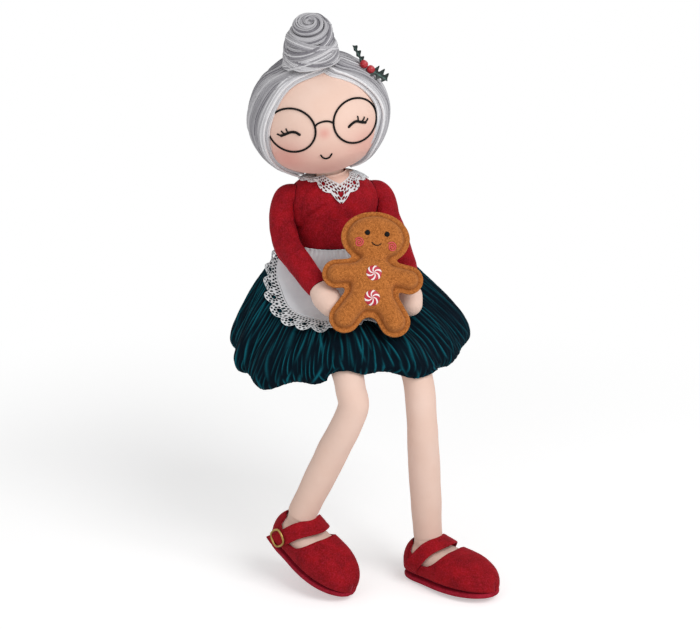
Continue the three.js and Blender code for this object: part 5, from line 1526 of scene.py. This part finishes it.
for name, node, degrees, half_width, stand, roll_way in LEAVES:
    turn = math.radians(degrees)

    def leaf_place(u, v):
        spines = np.abs(np.cos((u - 0.27) / 0.29 * math.pi)) ** 2.2
        ends = np.clip(4 * u, 0, 1) * np.clip(4.5 * (1 - u), 0, 1) ** 0.7
        half = half_width * (0.35 + 0.65 * spines) * ends
        x, y = 2.5 + LEAF_LENGTH * u, half * (2 * v - 1) * math.cos(LEAF_ROLL)
        rib = np.exp(-((2 * v - 1) / 0.12) ** 2)
        z = 1.9 + 0.9 * np.abs(2 * v - 1) ** 1.5 * spines + 1.2 * np.sin(u * 2.2) - 0.5 * rib
        z += stand * u ** 1.4
        z = z + half * (2 * v - 1) * math.sin(LEAF_ROLL) * roll_way + 2
        return in_holly(np.column_stack([x * math.cos(turn) - y * math.sin(turn),
                                         x * math.sin(turn) + y * math.cos(turn), z]))

    # Paler veins on the midrib and sides: partly the leaf's own veins, partly painted glints.
    def leaf_vein(u, v):
        across = np.abs(2 * v - 1)
        side_veins = np.exp(-((((u - 0.35 * across) * 7) % 1 - 0.5) / 0.1) ** 2)
        return np.clip(np.exp(-(across / 0.13) ** 2) + 0.45 * side_veins, 0, 1)

    leaf = bmesh.new()
    lay_cloth(leaf, 60, 24, leaf_place, vein=leaf_vein)
    leaf_piece = make_piece(name, leaf, leaf_plastic, "head", "leaf_plastic", node)
    thicken(leaf_piece, LEAF_THICKNESS)
for name, node, along in BERRIES:
    berry = bmesh.new()
    bmesh.ops.create_uvsphere(berry, u_segments=32, v_segments=20, radius=BERRY_RADIUS)
    for vert in berry.verts:
        dimple = 0.5 * math.exp(-((vert.co.z - BERRY_RADIUS) / 0.5) ** 2)
        vert.co.z -= dimple
    settle(berry.verts, in_holly(places_of(berry.verts) + (along, 0, BERRY_RISE)))
    make_piece(name, berry, berry_plastic, "head", "berry_plastic", node)

# Floor, light and camera: a white floor under the shoes, a large soft lamp from the upper right, a
# weaker one from the left and an even pale surround. Lengths here are metres.

scene = bpy.context.scene
scene.view_settings.view_transform = "Standard"
FLOOR_HALF_WIDTH = 6
FLOOR_GAP = 0.0005
floor_height = min(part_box(f"shoe_sole_{side}")[0].z for side in LEGS)
floor_mesh = bmesh.new()
bmesh.ops.create_grid(floor_mesh, x_segments=1, y_segments=1, size=FLOOR_HALF_WIDTH)
bmesh.ops.translate(floor_mesh, vec=(0, 0, floor_height - FLOOR_GAP), verts=floor_mesh.verts)
floor_data = bpy.data.meshes.new("floor")
floor_mesh.to_mesh(floor_data)
floor_mesh.free()
floor = bpy.data.objects.new("floor", floor_data)
scene.collection.objects.link(floor)
# White studio floor: it takes the shadow, and is lifted to white only where it is looked at.
white_floor, tree, shader, where = start_material(
    "white_studio_floor", {"Roughness": 0.9, "Base Color": to_linear("#f2f2f2"), "Specular IOR Level": 0.1})
floor_data.materials.append(white_floor)


def looked_at(tree):
    """1 where it is seen, by itself, in a gloss or through glass, and 0 for light on the object."""
    path = add_node(tree, "LightPath")
    seen = path.outputs["Is Camera Ray"]
    for ray in ("Is Glossy Ray", "Is Transmission Ray"):
        seen = add_node(tree, "Math", {}, {0: seen, 1: path.outputs[ray]}, operation="MAXIMUM").outputs[0]
    return seen


lifted = add_node(tree, "Emission", {"Color": (1, 1, 1, 1)})
strength = add_node(tree, "Math", {1: 0.4}, {0: looked_at(tree)}, operation="MULTIPLY")
tree.links.new(strength.outputs[0], lifted.inputs["Strength"])
both = add_node(tree, "AddShader", {}, {0: shader.outputs[0], 1: lifted.outputs[0]})
far = add_node(tree, "VectorMath", {}, {0: where}, operation="LENGTH")
fade = add_node(tree, "MapRange", {"From Min": 0.3, "From Max": 0.8}, {"Value": far.outputs["Value"]},
                interpolation_type="SMOOTHSTEP")
blank = add_node(tree, "Emission", {"Color": (1, 1, 1, 1), "Strength": 1})
mixed = add_node(tree, "MixShader", {}, {0: fade.outputs[0], 1: both.outputs[0], 2: blank.outputs[0]})
tree.links.new(mixed.outputs[0], tree.nodes["Material Output"].inputs["Surface"])

world = bpy.data.worlds.new("surround")
scene.world = world
world.use_nodes = True
tree = world.node_tree
ground = tree.nodes["Background"]
level = add_node(tree, "MapRange", {"To Min": 0.4, "To Max": 1.0}, {"Value": looked_at(tree)})
ground.inputs["Color"].default_value = (1, 1, 1, 1)
tree.links.new(level.outputs[0], ground.inputs["Strength"])

# Each lamp: its name, place, width and power.
LAMPS = [("key_lamp", (0.75, -1.35, 1.25), 1.1, 20), ("fill_lamp", (-1.3, -1.2, 0.5), 1.3, 5)]
aim_at = Vector((0, -0.03, 0.06))
for name, place, size, watts in LAMPS:
    lamp = bpy.data.lights.new(name, "AREA")
    lamp.size = size
    lamp.energy = watts
    holder = bpy.data.objects.new(name, lamp)
    holder.location = place
    holder.rotation_euler = (aim_at - Vector(place)).to_track_quat("-Z", "Y").to_euler()
    scene.collection.objects.link(holder)

CAMERA_PLACE = Vector((-0.2798, -1.31636, 0.38589))
CAMERA_AIM = Vector((0.00582, -0.040, 0.03214))
CAMERA_LENS = 79.9
camera = bpy.data.cameras.new("camera")
camera.lens = CAMERA_LENS
camera.sensor_width = 36
camera.sensor_fit = "HORIZONTAL"
holder = bpy.data.objects.new("camera", camera)
holder.location = CAMERA_PLACE
holder.rotation_euler = (CAMERA_AIM - CAMERA_PLACE).to_track_quat("-Z", "Y").to_euler()
scene.collection.objects.link(holder)
scene.camera = holder
